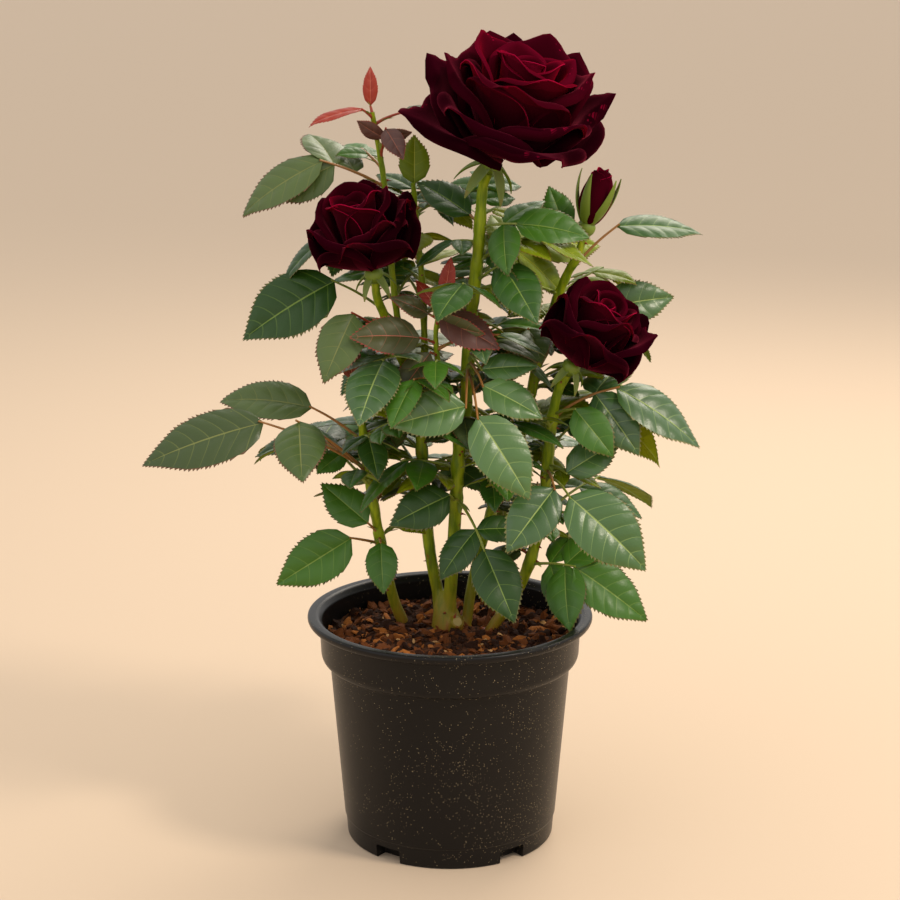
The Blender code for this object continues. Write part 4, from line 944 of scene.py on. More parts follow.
caneLook = {
    "ring": 0.0020, "sides": 16, "relief": 0.00018, "nodeSwell": 0.16, "nodeLength": 0.0032,
    "voxel": 0.0009, "smoothing": 8, "mergedTop": 0.196,
    "colour": "#7d8f30", "greens": ("#627c04", "#9cac10"), "scarColour": "#84501e",
    # width of the streaks, the scars and the lenticels, in mm
    "streak": 3.2, "scar": 11, "lenticel": 0.9,
}
# prickles a square metre, their sizes and tilt against the one that is drawn, and its length
prickleLook = {"Density": 2600, "Smallest": 0.45, "Largest": 1.1, "Tilt": 0.25, "Seed": 4, "length": 0.0034}


def addBark(made):
    # green bark: long pale streaks along the cane, corky scars and a bloom of fine lenticels
    tree = made.node_tree
    shader = tree.nodes["Principled BSDF"]
    spot = addNode(tree, "ShaderNodeTexCoord")
    drawn = addNode(tree, "ShaderNodeMapping", {"Scale": (1, 1, 0.16)}, {"Vector": spot.outputs["Object"]})
    streaks = addNode(tree, "ShaderNodeTexNoise", {"Scale": 1000 / caneLook["streak"], "Detail": 4.0},
                      {"Vector": drawn.outputs["Vector"]})
    ramp = addNode(tree, "ShaderNodeValToRGB", links={"Fac": streaks.outputs[0]})
    setRamp(ramp, *zip((0.34, 0.66), caneLook["greens"]))
    scars = addNode(tree, "ShaderNodeTexNoise",
                    {"Scale": 1000 / caneLook["scar"], "Detail": 5.0, "Roughness": 0.65},
                    {"Vector": spot.outputs["Object"]})
    mask = addNode(tree, "ShaderNodeMapRange", {"From Min": 0.62, "From Max": 0.74},
                   {"Value": scars.outputs[0]})
    parts = addNode(tree, "ShaderNodeSeparateXYZ", links={0: spot.outputs["Object"]})
    low = addNode(tree, "ShaderNodeMapRange",
                  {"From Min": soilLevel, "From Max": soilLevel + 0.05, "To Min": 1.5, "To Max": 0.0},
                  {"Value": parts.outputs[2]})
    flushed = addNode(tree, "ShaderNodeMath", {}, {0: low.outputs["Result"], 1: streaks.outputs[0]},
                      operation="MULTIPLY")
    most = addNode(tree, "ShaderNodeMath", {}, {0: flushed.outputs[0], 1: mask.outputs["Result"]},
                   operation="MAXIMUM")
    mixed = addNode(tree, "ShaderNodeMix", {7: linear(caneLook["scarColour"])},
                    {0: most.outputs[0], 6: ramp.outputs["Color"]}, data_type="RGBA")
    tree.links.new(mixed.outputs[2], shader.inputs["Base Color"])
    fine = addNode(tree, "ShaderNodeTexNoise", {"Scale": 1000 / caneLook["lenticel"], "Detail": 3.0},
                   {"Vector": drawn.outputs["Vector"]})
    bump = addNode(tree, "ShaderNodeBump", {"Distance": 0.00012}, {"Height": fine.outputs[0]})
    tree.links.new(bump.outputs["Normal"], shader.inputs["Normal"])
    return made


greenBark = addBark(newMaterial("greenCaneBark", caneLook["colour"], 0.46, {"Specular IOR Level": 0.28}))
# cut wood, dried pale and dull against the bark round it
paleCut = newMaterial("paleCutWood", "#a08c50", 0.7, grain=(0.7, 0.15))

leafFeet = {name: [] for name in routes}
for sprays in foliage.values():
    for row, _, _ in sprays:
        leafFeet[row[0]].append(row[1])


def caneShape(name, start, end, sunk=0.0):
    # a cane with the bark's relief and a swelling at every leaf
    count = max(2, round((end - start) / caneLook["ring"]) + 1)
    found = [atHeight(name, height) for height in evenSteps(start, end, count)]
    centres = [entry[0] for entry in found]
    radii = [entry[2] for entry in found]
    if sunk:
        down = found[0][1].lerp(upright, 0.5).normalized()
        centres.insert(0, centres[0] - down * sunk)
        radii.insert(0, radii[0] * 1.1)
    sides = caneLook["sides"]
    verts, faces = tube(centres, radii, waysAlong(centres), sides)
    shaped = []
    for index, vert in enumerate(verts):
        centre = centres[index // sides]
        swell = sum(math.exp(-((centre.z - foot) / caneLook["nodeLength"]) ** 2) for foot in leafFeet[name])
        out = vert - centre
        rough = noise.noise(Vector((vert.x * 420, vert.y * 420, vert.z * 110)))
        share = 1 + caneLook["nodeSwell"] * min(swell, 1.2) + rough * caneLook["relief"] / out.length
        shaped.append(centre + out * share)
    return shaped, faces


def joinedSkin(name, shapes):
    # one skin over shapes that run into each other
    pile = Pile()
    for shape in shapes:
        pile.add(shape)
    body = pile.build(name, [greenBark])
    skin = body.modifiers.new("skin", "REMESH")
    skin.mode = "VOXEL"
    skin.voxel_size = caneLook["voxel"]
    even = body.modifiers.new("even", "SMOOTH")
    even.factor, even.iterations = 0.5, caneLook["smoothing"]
    shape = meshShape(evaluatedMesh(body))
    bpy.data.objects.remove(body)
    return shape


# the old stock: its heights and radii, and the canes that melt into it with how deep they reach
stock = [(soilLevel - 0.004, 0.0118), (0.139, 0.0112), (0.144, 0.0098), (0.150, 0.0080), (0.157, 0.0055),
         (0.163, 0.0025)]
mergedCanes = {"centre": (crown["top"], 0.014), "back": (crown["top"], 0.014), "bud": (soilLevel, 0.004)}
stockPoints = [Vector((crown["x"] - 0.15 * (height - soilLevel), crown["y"], height))
               for height, _ in stock]
crownShapes = [tube(stockPoints, [radius for _, radius in stock], [upright] * len(stock), 24)]
crownShapes += [caneShape(name, low, caneLook["mergedTop"], sunk)
                for name, (low, sunk) in mergedCanes.items()]
# a healed stub in front, left by a cane that was cut away
stubFoot = Vector((0.0015, 0.0125, 0.139))
stubTop = Vector((0.0050, 0.0065, 0.1445))
cutWay = (stubTop - stubFoot).normalized()
crownShapes.append(tube([stubFoot, stubTop], [0.0048, 0.0044], [cutWay] * 2, 16))

canePile = Pile()
canePile.add(joinedSkin("crownBody", crownShapes))
for name in routes:
    start = caneLook["mergedTop"] - 0.004 if name in mergedCanes else routes[name][0][0][2]
    sunk = 0.006 if name in ("left", "right") else 0.0
    canePile.add(caneShape(name, start, routeMarks(name)[-1].z, sunk))
cutEnds = [stubTop - cutWay * 0.0004, stubTop + cutWay * 0.0003]
canePile.add(tube(cutEnds, [0.0034, 0.0030], [cutWay] * 2, 16), 1)
canes = canePile.build("canes", [greenBark, paleCut])
finishPiece(canes, "green_cane", "crown", *[limb for limb, _, _, _ in limbs])


def growOn(carrier, seedShape, finish, look, name):
    # Geometry Nodes: scatters a small shape over a surface, turned to stand out of it
    tree = bpy.data.node_groups.new(name, "GeometryNodeTree")
    outside = tree.interface
    outside.new_socket("Geometry", in_out="INPUT", socket_type="NodeSocketGeometry")
    sockets = {label: outside.new_socket(label, in_out="INPUT", socket_type="NodeSocketFloat").identifier
               for label in ("Density", "Smallest", "Largest", "Tilt")}
    sockets["Seed"] = outside.new_socket("Seed", in_out="INPUT", socket_type="NodeSocketInt").identifier
    outside.new_socket("Geometry", in_out="OUTPUT", socket_type="NodeSocketGeometry")
    given = addNode(tree, "NodeGroupInput")
    spots = addNode(tree, "GeometryNodeDistributePointsOnFaces",
                    links={"Mesh": given.outputs["Geometry"], "Density": given.outputs["Density"],
                           "Seed": given.outputs["Seed"]})
    shape = addNode(tree, "GeometryNodeObjectInfo", {"Object": seedShape})
    # leans either way by up to the tilt, after any turn about its own axis
    tilt = addNode(tree, "ShaderNodeCombineXYZ",
                   links={"X": given.outputs["Tilt"], "Y": given.outputs["Tilt"]})
    back = addNode(tree, "ShaderNodeVectorMath", {1: (-1, -1, 0)}, {0: tilt.outputs[0]},
                   operation="MULTIPLY")
    whole = addNode(tree, "ShaderNodeVectorMath", {1: (0, 0, 6.2832)}, {0: tilt.outputs[0]},
                    operation="ADD")
    spin = addNode(tree, "FunctionNodeRandomValue", {},
                   {"Min": back.outputs[0], "Max": whole.outputs[0], "Seed": given.outputs["Seed"]},
                   data_type="FLOAT_VECTOR")
    turn = addNode(tree, "FunctionNodeRotateRotation", {},
                   {"Rotation": spots.outputs["Rotation"], "Rotate By": spin.outputs[0]},
                   rotation_space="LOCAL")
    size = addNode(tree, "FunctionNodeRandomValue", {},
                   {2: given.outputs["Smallest"], 3: given.outputs["Largest"],
                    "Seed": given.outputs["Seed"]}, data_type="FLOAT")
    stand = addNode(tree, "GeometryNodeInstanceOnPoints", {},
                    {"Points": spots.outputs["Points"], "Instance": shape.outputs["Geometry"],
                     "Rotation": turn.outputs["Rotation"], "Scale": size.outputs[1]})
    real = addNode(tree, "GeometryNodeRealizeInstances", links={"Geometry": stand.outputs["Instances"]})
    dressed = addNode(tree, "GeometryNodeSetMaterial", {"Material": finish},
                      {"Geometry": real.outputs["Geometry"]})
    addNode(tree, "NodeGroupOutput", links={"Geometry": dressed.outputs["Geometry"]})
    modifier = carrier.modifiers.new(name, "NODES")
    modifier.node_group = tree
    for label, socket in sockets.items():
        modifier[socket] = look[label]
    grown = bpy.data.objects.new(name, evaluatedMesh(carrier))
    carrier.modifiers.remove(modifier)
    scene.collection.objects.link(grown)
    return grown


def hiddenShape(name, shape, finish):
    pile = Pile()
    pile.add(shape)
    made = pile.build(name, [finish])
    made.hide_render = True
    return made


# prickles: a broad flattened foot and a hooked point, dried to a thin red horn
prickleHorn = newMaterial("redHorn", "#8f4226", 0.35, grain=(0.5, 0.05))
prickleLine = [Vector((0, 0, -0.0004))]
prickleLine += [Vector((hook, 0, height)) * prickleLook["length"]
                for hook, height in ((0, 0.25), (-0.06, 0.6), (-0.30, 1))]
prickle = tube(prickleLine, [0.00105, 0.00070, 0.00036, 0.00005], waysAlong(prickleLine), 6)
prickleSeed = hiddenShape("prickleSeed", prickle, prickleHorn)
finishPiece(growOn(canes, prickleSeed, prickleHorn, prickleLook, "prickles"), "green_cane")
bpy.data.objects.remove(prickleSeed)


petalLook = {
    "grid": 24,
    "thickness": 0.00040,
    "ripple": 0.012,         # waviness of the rim, share of the bloom's size
    "lean": 4.0,             # degrees a petal stands off its place in the spiral
    "reach": {"top": 0.935, "left": 1.0, "right": 1.0},
    "counts": {"top": 26, "left": 17, "right": 17},
    "open": {"top": 0.70, "left": 0.46, "right": 0.38},
    "tips": {"top": 0.090, "left": 0.055, "right": 0.055},
    "swing": {"top": -3, "left": -4, "right": 4},  # degrees that the petals lean further to the right
    "shift": {"top": (0.0066, 0.0, 0.0014), "left": (-0.0015, 0.0, 0.0), "right": (0.001, 0.0, 0.0)},
    # shade of the heart and how far it falls to the outer petals
    "baseShade": {"top": (7.5, 6.4), "left": (5.6, 4.6), "right": (5.6, 4.6)},
    # up to this share from the heart out the edges carry the painted highlight, beyond it a dark shade
    "brightEdges": 0.55,
    "darkEdge": 5,
    "seed": 21,
}
# velvet of fine upright cells, in twelve tones from near black to bright crimson: the dark ones are
# painted shade at the foot of a petal, the bright ones a painted highlight along folds and rims
velvetLitAndShadedTones = ("#1a0107", "#23010a", "#2d020d", "#380310", "#440414", "#520519", "#61061e", "#720725",
                "#84092c", "#970b34", "#ab0d3c", "#c01246")
velvet = {"Sheen Weight": 0.40, "Sheen Roughness": 0.35, "Sheen Tint": linear("#e80a30"),
          "Specular IOR Level": 0.0}
# the darkest, outer petals carry a duller bloom
dullVelvet = {**velvet, "Sheen Tint": linear("#c04058"), "Sheen Weight": 0.46}
petalMaterials = [newMaterial(f"velvet{index}", shade, 0.50, dullVelvet if index < 4 else velvet,
                              (0.35, 0.05)) for index, shade in enumerate(velvetLitAndShadedTones)]
# painted highlight: the thin edge of a petal in bright crimson, where light catches and shines through it
petalMaterials.append(newMaterial("petalEdge", "#a01038", 0.50, velvet, (0.35, 0.03)))
rimHighlightSlot = len(velvetLitAndShadedTones)


def petalProfile(bloom, u, length, droop, steps=14):
    # centre line of a petal: radius, height and outward tilt from foot to tip
    opened = bloom["open"]
    footTilt = 8 + (54 + 10 * opened) * u**0.7
    midTilt = (8 + 66 * opened) * u**1.6 + droop
    tipTilt = 2 + (14 + 86 * opened) * u**1.4 + droop * 1.6
    radius, height = bloom["size"] * 0.02, 0.0
    line = []
    for step in range(steps + 1):
        t = step / steps
        low, high = (footTilt, midTilt) if t < 0.5 else (midTilt, tipTilt)
        blend = (1 - math.cos(math.pi * (t % 0.5 if t < 1 else 0.5) / 0.5)) / 2
        tilt = math.radians(low + (high - low) * blend)
        line.append((radius, height, tilt))
        radius += length / steps * math.sin(tilt)
        height += length / steps * math.cos(tilt)
    return line


def petalPoint(bloom, u, s, t, line, length, lift, rolls):
    # u is 0 at the heart and 1 outside, s fans across the petal from one side to the other and t
    # runs from its foot to its rim; also says how far the sheet has rolled
    size = bloom["size"]
    wide = size * (0.155 + 0.45 * u**0.6)
    fan = s * math.radians(106)
    middle = (0.60 - 0.10 * u) * length
    rimX = wide * math.copysign(abs(math.sin(fan)) ** 0.80, fan)
    rimY = middle + (length - middle) * math.copysign(abs(math.cos(fan)) ** 0.74, math.cos(fan))
    # a short point in the middle of the rim, where the two rolls meet
    rimY += size * bloom["tips"] * min(1.0, 1.5 * u**1.5) * math.exp(-abs(fan) / 0.12)
    footX = s * 0.12 * wide
    way = Vector((rimX - footX, rimY))
    span = way.length
    way /= span
    inset = size * (0.030 + 0.185 * u) * rolls[s > 0] * (1 - 0.5 * abs(s) ** 3)
    inset *= 1 - (0.55 + 0.40 * u) * math.exp(-((fan / 0.22) ** 2))
    x, y = footX + way.x * span * t, way.y * span * t
    beyond = inset - (1 - t) * span
    back = turn = 0.0
    if beyond > 0:
        curl = size * (0.032 + 0.020 * u)
        turn = min(beyond / curl, 3.3)
        pulled = beyond - curl * math.sin(turn)
        back = curl * (1 - math.cos(turn))
        x -= way.x * pulled
        y -= way.y * pulled
    along = max(0.0, min(y / length, 1.15)) * (len(line) - 1)
    index = min(int(along), len(line) - 2)
    share = along - index
    radius, height, tilt = [a + (b - a) * share for a, b in zip(line[index], line[index + 1])]
    hug = size * (0.050 + 0.50 * u**1.05 + 0.9 * max(0.0, u - 0.6)) * (1 + 0.35 * t * t)
    angle = x / hug
    sideways = hug * math.sin(angle)
    inward = hug * (1 - math.cos(angle))
    outward = back + lift + 0.12 * x * (1 - u)
    out = Vector((math.cos(tilt), 0, -math.sin(tilt)))
    normal = out * math.cos(angle) + Vector((0, math.sin(angle), 0))
    return Vector((radius, sideways, height)) - out * inward + normal * outward, turn


def sheetShape(front, normals, thick, rows, columns, frontSlot, backSlot, edgeSlot):
    # a closed sheet of even thickness behind a grid of points
    points = front + [point - normal * thick for point, normal in zip(front, normals)]
    back = rows * columns
    faces, slots = [], []

    def addEdge(a, step, flip):
        strip = [a, a + step, back + a + step, back + a]
        faces.append(strip[::-1] if flip else strip)
        slots.append(edgeSlot)

    for row in range(rows - 1):
        for column in range(columns - 1):
            a = row * columns + column
            faces.append([a, a + 1, a + 1 + columns, a + columns])
            faces.append([back + corner for corner in faces[-1][::-1]])
            slots += [frontSlot(row, column), backSlot(row, column)]
        addEdge(row * columns, columns, True)
        addEdge((row + 1) * columns - 1, columns, False)
    for column in range(columns - 1):
        addEdge(column, 1, False)
        addEdge((rows - 1) * columns + column, 1, True)
    return (points, faces), slots


def gridNormals(front, rows, columns):
    def at(row, column):
        return front[max(0, min(row, rows - 1)) * columns + max(0, min(column, columns - 1))]

    def normal(row, column):
        across = at(row, column + 1) - at(row, column - 1)
        return across.cross(at(row + 1, column) - at(row - 1, column)).normalized()

    return [normal(row, column) for row in range(rows) for column in range(columns)]


def nearestShade(shade):
    return int(min(max(shade, 0), rimHighlightSlot - 1))


petalRandom = random.Random(petalLook["seed"])
for name in blooms:
    bloom = {"size": blooms[name]["size"] * petalLook["reach"][name], "open": petalLook["open"][name],
             "tips": petalLook["tips"][name]}
    stem = Matrix.Translation(heads[name][0])
    swing = Matrix.Rotation(math.radians(petalLook["swing"][name]), 4, "Y")
    head = Matrix.Translation(petalLook["shift"][name]) @ stem @ swing @ stem.inverted() @ headMatrix(name)
    petalPile = Pile()
    count, grid = petalLook["counts"][name], petalLook["grid"]
    for index in range(count):
        u = index / (count - 1)
        length = bloom["size"] * (0.80 + 0.22 * min(1.0, u / 0.30) - 0.09 * u)
        length *= petalRandom.uniform(0.96, 1.04)
        line = petalProfile(bloom, u, length, petalRandom.uniform(-6, 6) * u)
        lean = math.radians(petalRandom.uniform(-1, 1) * petalLook["lean"])
        spin = math.radians(leafRule["goldenAngle"] * index + petalRandom.uniform(-9, 9))
        stand = head @ Matrix.Rotation(spin, 4, "Z") @ Matrix.Rotation(lean, 4, "Y")
        phase, beats = petalRandom.uniform(0, 6.28), petalRandom.uniform(2.2, 4.6)
        rolls = [petalRandom.uniform(0.55, 1.35) for side in range(2)]
        ripple = petalLook["ripple"] * bloom["size"] * (0.3 + 0.7 * u) * petalRandom.uniform(0.5, 1.2)
        front, turns = [], []
        for row in range(grid + 1):
            t = 1 - (1 - row / grid) ** 1.7
            for column in range(grid + 1):
                s = 2 * column / grid - 1
                s = math.copysign(abs(s) ** 1.3, s)
                wave = ripple * math.sin(phase + beats * s + 1.5 * t) * t**2.5
                point, turn = petalPoint(bloom, u, s, t, line, length, wave, rolls)
                front.append(stand @ point)
                turns.append(turn)
        normals = gridNormals(front, grid + 1, grid + 1)
        heart, falling = petalLook["baseShade"][name]
        baseShade = heart - falling * u + petalRandom.uniform(-0.5, 0.5)

        def lightAndShadeAt(row, column):
            # painted shade, darkest at the foot and under a tight roll; painted highlight, brightest along
            # the crest of the rolled rim
            turned, s = turns[row * (grid + 1) + column], 2 * column / grid - 1
            shade = baseShade + 2.6 * (row / grid) ** 1.5 - 1.2
            if turned > 0:
                # painted highlight on the crest of the roll, and painted shade where the sheet has rolled
                # far under
                shade += (3.4 + 2.6 * u) * math.exp(-((turned - 0.8) ** 2) - (s / 0.75) ** 2)
                shade -= 1.6 * u * min(1.0, turned / 2.4)
            return nearestShade(shade)

        def backPaintedShadeAt(row, column):
            # painted shade on the back: darker than the front and darkest at the foot
            return nearestShade(baseShade - 2.4 + 2.4 * (row / grid) ** 1.5)

        petalPile.add(*sheetShape(front, normals, petalLook["thickness"], grid + 1, grid + 1,
                                  lightAndShadeAt, backPaintedShadeAt,
                                  rimHighlightSlot if u < petalLook["brightEdges"] else petalLook["darkEdge"]))
    finishPiece(petalPile.build(name + "Bloom", petalMaterials, 70), "crimson_petals", "bloom_" + name)


# the bud: petals wound round each other, the outer ones just parting at the top
budLook = {"petals": 6, "grid": 18, "girth": 1.26, "flare": 0.22, "turn": 144, "reach": 96,
           "foldShade": 3, "rimHighlightShade": 7}
budPile = Pile()
for index in range(budLook["petals"]):
    u = index / (budLook["petals"] - 1)
    grid = budLook["grid"]
    front = []
    for row in range(grid + 1):
        t = row / grid
        for column in range(grid + 1):
            s = 2 * column / grid - 1
            width = 0.46 + 0.54 * math.sin(math.pi * min(t / 0.96, 1.0)) ** 0.8
            girth = budLook["girth"] * width * (0.50 + 0.46 * u + 0.07 * s)
            girth += budLook["flare"] * max(0.0, t - 0.75) * 4 * (0.3 + s * s) * (0.4 + u)
            radius = budSize["radius"] * girth
            angle = math.radians(budLook["turn"] * index) + s * math.radians(budLook["reach"])
            height = budSize["length"] * t * (1.0 - 0.05 * u - 0.10 * s * s * t + 0.05 * (1 - u))
            front.append(headMatrix("bud")
                         @ Vector((radius * math.cos(angle), radius * math.sin(angle), height)))
    normals = [-normal for normal in gridNormals(front, grid + 1, grid + 1)]
    # painted highlight: the top rows of each bud petal take a bright velvet tone, the rest a darker one
    budPile.add(*sheetShape(front, normals, petalLook["thickness"], grid + 1, grid + 1,
                            lambda row, column: budLook["rimHighlightShade" if row >= grid - 1 else "foldShade"],
                            lambda row, column: budLook["foldShade"], rimHighlightSlot))
finishPiece(budPile.build("budPetals", petalMaterials, 70), "bud_petals", "bloom_bud")


# soft green cup with a downy, slightly glandular skin
calyxGreen = newMaterial("calyxGreen", "#6c8220", 0.5, grain=(0.7, 0.10))
sepalInner = newMaterial("sepalDown", "#74863c", 0.70, {"Sheen Weight": 0.15}, grain=(0.5, 0.08))
sepalTip = newMaterial("sepalFlush", "#7c7a34", 0.6, grain=(0.5, 0.06))
# hips, and sepals with their length and width against the rule's
calyxLook = {"sides": 28, "rows": 22, "columns": 7, "open": (0.74, 1.1), "bud": (0.92, 0.92)}
hipOutline = ((0, -1), (0.50, -1), (0.66, -0.88), (0.90, -0.66), (1, -0.42), (0.97, -0.22), (0.84, -0.06))
hipProfile = [(hip["radius"] * wide, hip["length"] * high) for wide, high in hipOutline]
hipProfile += [(hip["radius"] * 0.70, 0.0003), (0, 0.0006)]
calyxPile = Pile()
for name in heads:
    calyxPile.add(moved(turned(hipProfile, calyxLook["sides"]), headMatrix(name)))
    rows, columns = calyxLook["rows"], calyxLook["columns"]
    longer, wider = calyxLook["bud" if name == "bud" else "open"]
    for sepal in sepalsOf(name):
        long = sepal.length * longer
        across = sepal.along.cross(sepal.up)
        front = []
        for row in range(rows + 1):
            t = row / rows
            angle = sepal.bend * t
            run = long * math.sin(angle) / sepal.bend
            fall = long * (1 - math.cos(angle)) / sepal.bend
            up = sepal.up * math.cos(angle) + sepal.along * math.sin(angle)
            half = sepal.length * sepal.width * wider * (1 - t) ** 0.75
            half = max(half * (0.55 + 1.6 * t) / (1 + 0.9 * t * t), 0.00025)
            for column in range(columns):
                s = 2 * column / (columns - 1) - 1
                front.append(sepal.root + sepal.along * run - sepal.up * fall
                             + across * (s * half) + up * (s * s * half * 0.45))
        normals = gridNormals(front, rows + 1, columns)
        if normals[rows // 2 * columns + 3].dot(sepal.up) < 0:
            normals = [-normal for normal in normals]
        calyxPile.add(*sheetShape(front, normals, petalLook["thickness"], rows + 1, columns,
                                  lambda row, column: 2 if row > rows - 5 else 1, lambda row, column: 0, 0))
finishPiece(calyxPile.build("calyxes", [calyxGreen, sepalInner, sepalTip], 60), "green_calyx",
            *["calyx_" + name for name in heads])


potLook = {"colour": "#131110", "sides": 160, "speckColour": "#a89878", "speckEvery": 0.00105,
           "speckSize": 0.25, "speckLean": 4.0, "skin": 0.0008, "notchRounding": 0.0012}


def filleted(corners, steps=5):
    # a profile whose corners (radius, height, rounding) are rounded by arcs
    points = [Vector(corners[0][:2])]
    for before, corner, after in zip(corners, corners[1:], corners[2:]):
        here = Vector(corner[:2])
        if corner[2] == 0:
            points.append(here)
            continue
        a, b = (Vector(before[:2]) - here), (Vector(after[:2]) - here)
        reach = min(corner[2], a.length * 0.48, b.length * 0.48)
        start, end = here + a.normalized() * reach, here + b.normalized() * reach
        for step in range(steps + 1):
            t = step / steps
            points.append(start * (1 - t) ** 2 + here * 2 * t * (1 - t) + end * t * t)
    points.append(Vector(corners[-1][:2]))
    return [(point.x, point.y) for point in points]


def notchBlocks(grow, outer, foot):
    inner = pot["bodyFoot"] - pot["notchDepth"] - grow
    top = pot["notchHeight"] + grow
    shapes = []
    for index in range(pot["notches"]):
        block = bmesh.new()
        bmesh.ops.create_cube(block, size=1)
        size = Matrix.Diagonal((outer - inner, pot["notchWidth"] + 2 * grow, top - foot, 1))
        bmesh.ops.transform(block, matrix=size, verts=block.verts)
        bmesh.ops.bevel(block, geom=list(block.edges), offset=potLook["notchRounding"], segments=3,
                        profile=0.5, affect="EDGES")
        turn = Matrix.Rotation(math.radians(-90 + (index + 0.5) * 360 / pot["notches"]), 4, "Z")
        out = Matrix.Translation(((outer + inner) / 2, 0, (top + foot) / 2))
        shapes.append(moved(blockShape(block), turn @ out))
    return shapes


def combine(body, shapes, operation):
    # adds blocks to a body or cuts them out of it
    others = bpy.data.collections.new("blocks")
    scene.collection.children.link(others)
    for shape in shapes:
        piece = hiddenShape("block", shape, None)
        scene.collection.objects.unlink(piece)
        others.objects.link(piece)
    modifier = body.modifiers.new("combine", "BOOLEAN")
    modifier.operation = operation
    modifier.operand_type = "COLLECTION"
    modifier.collection = others
    modifier.solver = "EXACT"
    mesh = evaluatedMesh(body)
    body.modifiers.remove(modifier)
    body.data = mesh
    for piece in list(others.objects):
        bpy.data.objects.remove(piece)
    bpy.data.collections.remove(others)


def addSplashes(made):
    # a dust of dried splashes, thicker in patches and towards +X, over a fine moulded skin
    tree = made.node_tree
    shader = tree.nodes["Principled BSDF"]
    spot = addNode(tree, "ShaderNodeTexCoord")
    cells = addNode(tree, "ShaderNodeTexVoronoi", {"Scale": 1 / potLook["speckEvery"]},
                    {"Vector": spot.outputs["Object"]})
    chance = addNode(tree, "ShaderNodeSeparateXYZ", links={0: cells.outputs["Color"]})
    reach = addNode(tree, "ShaderNodeMath", {1: potLook["speckSize"]}, {0: chance.outputs[0]},
                    operation="MULTIPLY")
    near = addNode(tree, "ShaderNodeMath", {}, {0: cells.outputs["Distance"], 1: reach.outputs[0]},
                   operation="LESS_THAN")
    drift = addNode(tree, "ShaderNodeTexNoise", {"Scale": 22.0, "Detail": 2.0},
                    {"Vector": spot.outputs["Object"]})
    often = addNode(tree, "ShaderNodeMapRange",
                    {"From Min": 0.35, "From Max": 0.70, "To Min": 0.10, "To Max": 0.80},
                    {"Value": drift.outputs[0]})
    where = addNode(tree, "ShaderNodeSeparateXYZ", links={0: spot.outputs["Object"]})
    share = addNode(tree, "ShaderNodeMath", {1: potLook["speckLean"]},
                    {0: where.outputs[0], 2: often.outputs["Result"]}, operation="MULTIPLY_ADD")
    some = addNode(tree, "ShaderNodeMath", {}, {0: chance.outputs[1], 1: share.outputs[0]},
                   operation="LESS_THAN")
    both = addNode(tree, "ShaderNodeMath", {}, {0: near.outputs[0], 1: some.outputs[0]},
                   operation="MULTIPLY")
    tone = addNode(tree, "ShaderNodeMix", {6: linear(potLook["colour"]), 7: linear(potLook["speckColour"])},
                   {0: both.outputs[0]}, data_type="RGBA")
    tree.links.new(tone.outputs[2], shader.inputs["Base Color"])
    skin = addNode(tree, "ShaderNodeTexNoise", {"Scale": 1 / potLook["skin"], "Detail": 2.0},
                   {"Vector": spot.outputs["Object"]})
    bump = addNode(tree, "ShaderNodeBump", {"Distance": 0.00004}, {"Height": skin.outputs[0]})
    tree.links.new(bump.outputs["Normal"], shader.inputs["Normal"])


lipFoot = pot["height"] - pot["lipDepth"]
collarFoot = lipFoot - pot["collarDepth"]
mouth = pot["collarRadius"] - pot["wall"] - 0.001
foot, bodyTop, collar, lip = pot["bodyFoot"], pot["bodyTop"], pot["collarRadius"], pot["lipRadius"]
wall = pot["wall"]
potProfile = filleted([
    (0, 0, 0), (foot - 0.0004, 0, 0.0016), (foot + 0.0006, 0.0135, 0.0006), (foot + 0.0014, 0.0145, 0.0006),
    (bodyTop - 0.0004, collarFoot - 0.0030, 0.0020), (bodyTop, collarFoot - 0.0008, 0.0010),
    (collar - 0.0026, collarFoot + 0.0006, 0.0022), (collar - 0.0010, collarFoot + 0.0040, 0.0020),
    (collar, lipFoot - 0.0008, 0.0007), (lip - 0.0016, lipFoot - 0.0002, 0.0016),
    (lip, lipFoot + 0.0022, 0.0020), (lip - 0.0004, pot["height"], 0.0026),
    (lip - pot["lipWidth"], pot["height"], 0.0020), (mouth + 0.0006, pot["height"] - 0.0040, 0.0012),
    (mouth, collarFoot + 0.003, 0.002), (bodyTop - wall, collarFoot - 0.001, 0.002),
    (foot - wall - 0.001, pot["floor"], 0.001), (0, pot["floor"], 0)])
potPile = Pile()
potPile.add(turned(potProfile, potLook["sides"]))
# injection-moulded polypropylene, carbon black: satin, with a dust of dried splashes
polypropylene = newMaterial("blackPolypropylene", potLook["colour"], 0.33, {"Specular IOR Level": 0.20})
addSplashes(polypropylene)
potBody = potPile.build("nurseryPot", [polypropylene])
within = foot - wall / 2
within *= math.cos(math.asin(pot["notchWidth"] / 2 / within))
combine(potBody, notchBlocks(wall, within, pot["floor"] / 2), "UNION")
combine(potBody, notchBlocks(0, foot + wall * 2, -pot["floor"]), "DIFFERENCE")
potBody.data.shade_smooth()
potBody.data.set_sharp_from_angle(angle=math.radians(35))
finishPiece(potBody, "black_plastic", "pot")


compostLook = {"colour": "#2a1810", "crumbColours": ("#1c0e06", "#6e3e1e"), "crumb": 2.6,
               "lump": 0.0060, "rings": 56, "sides": 150}
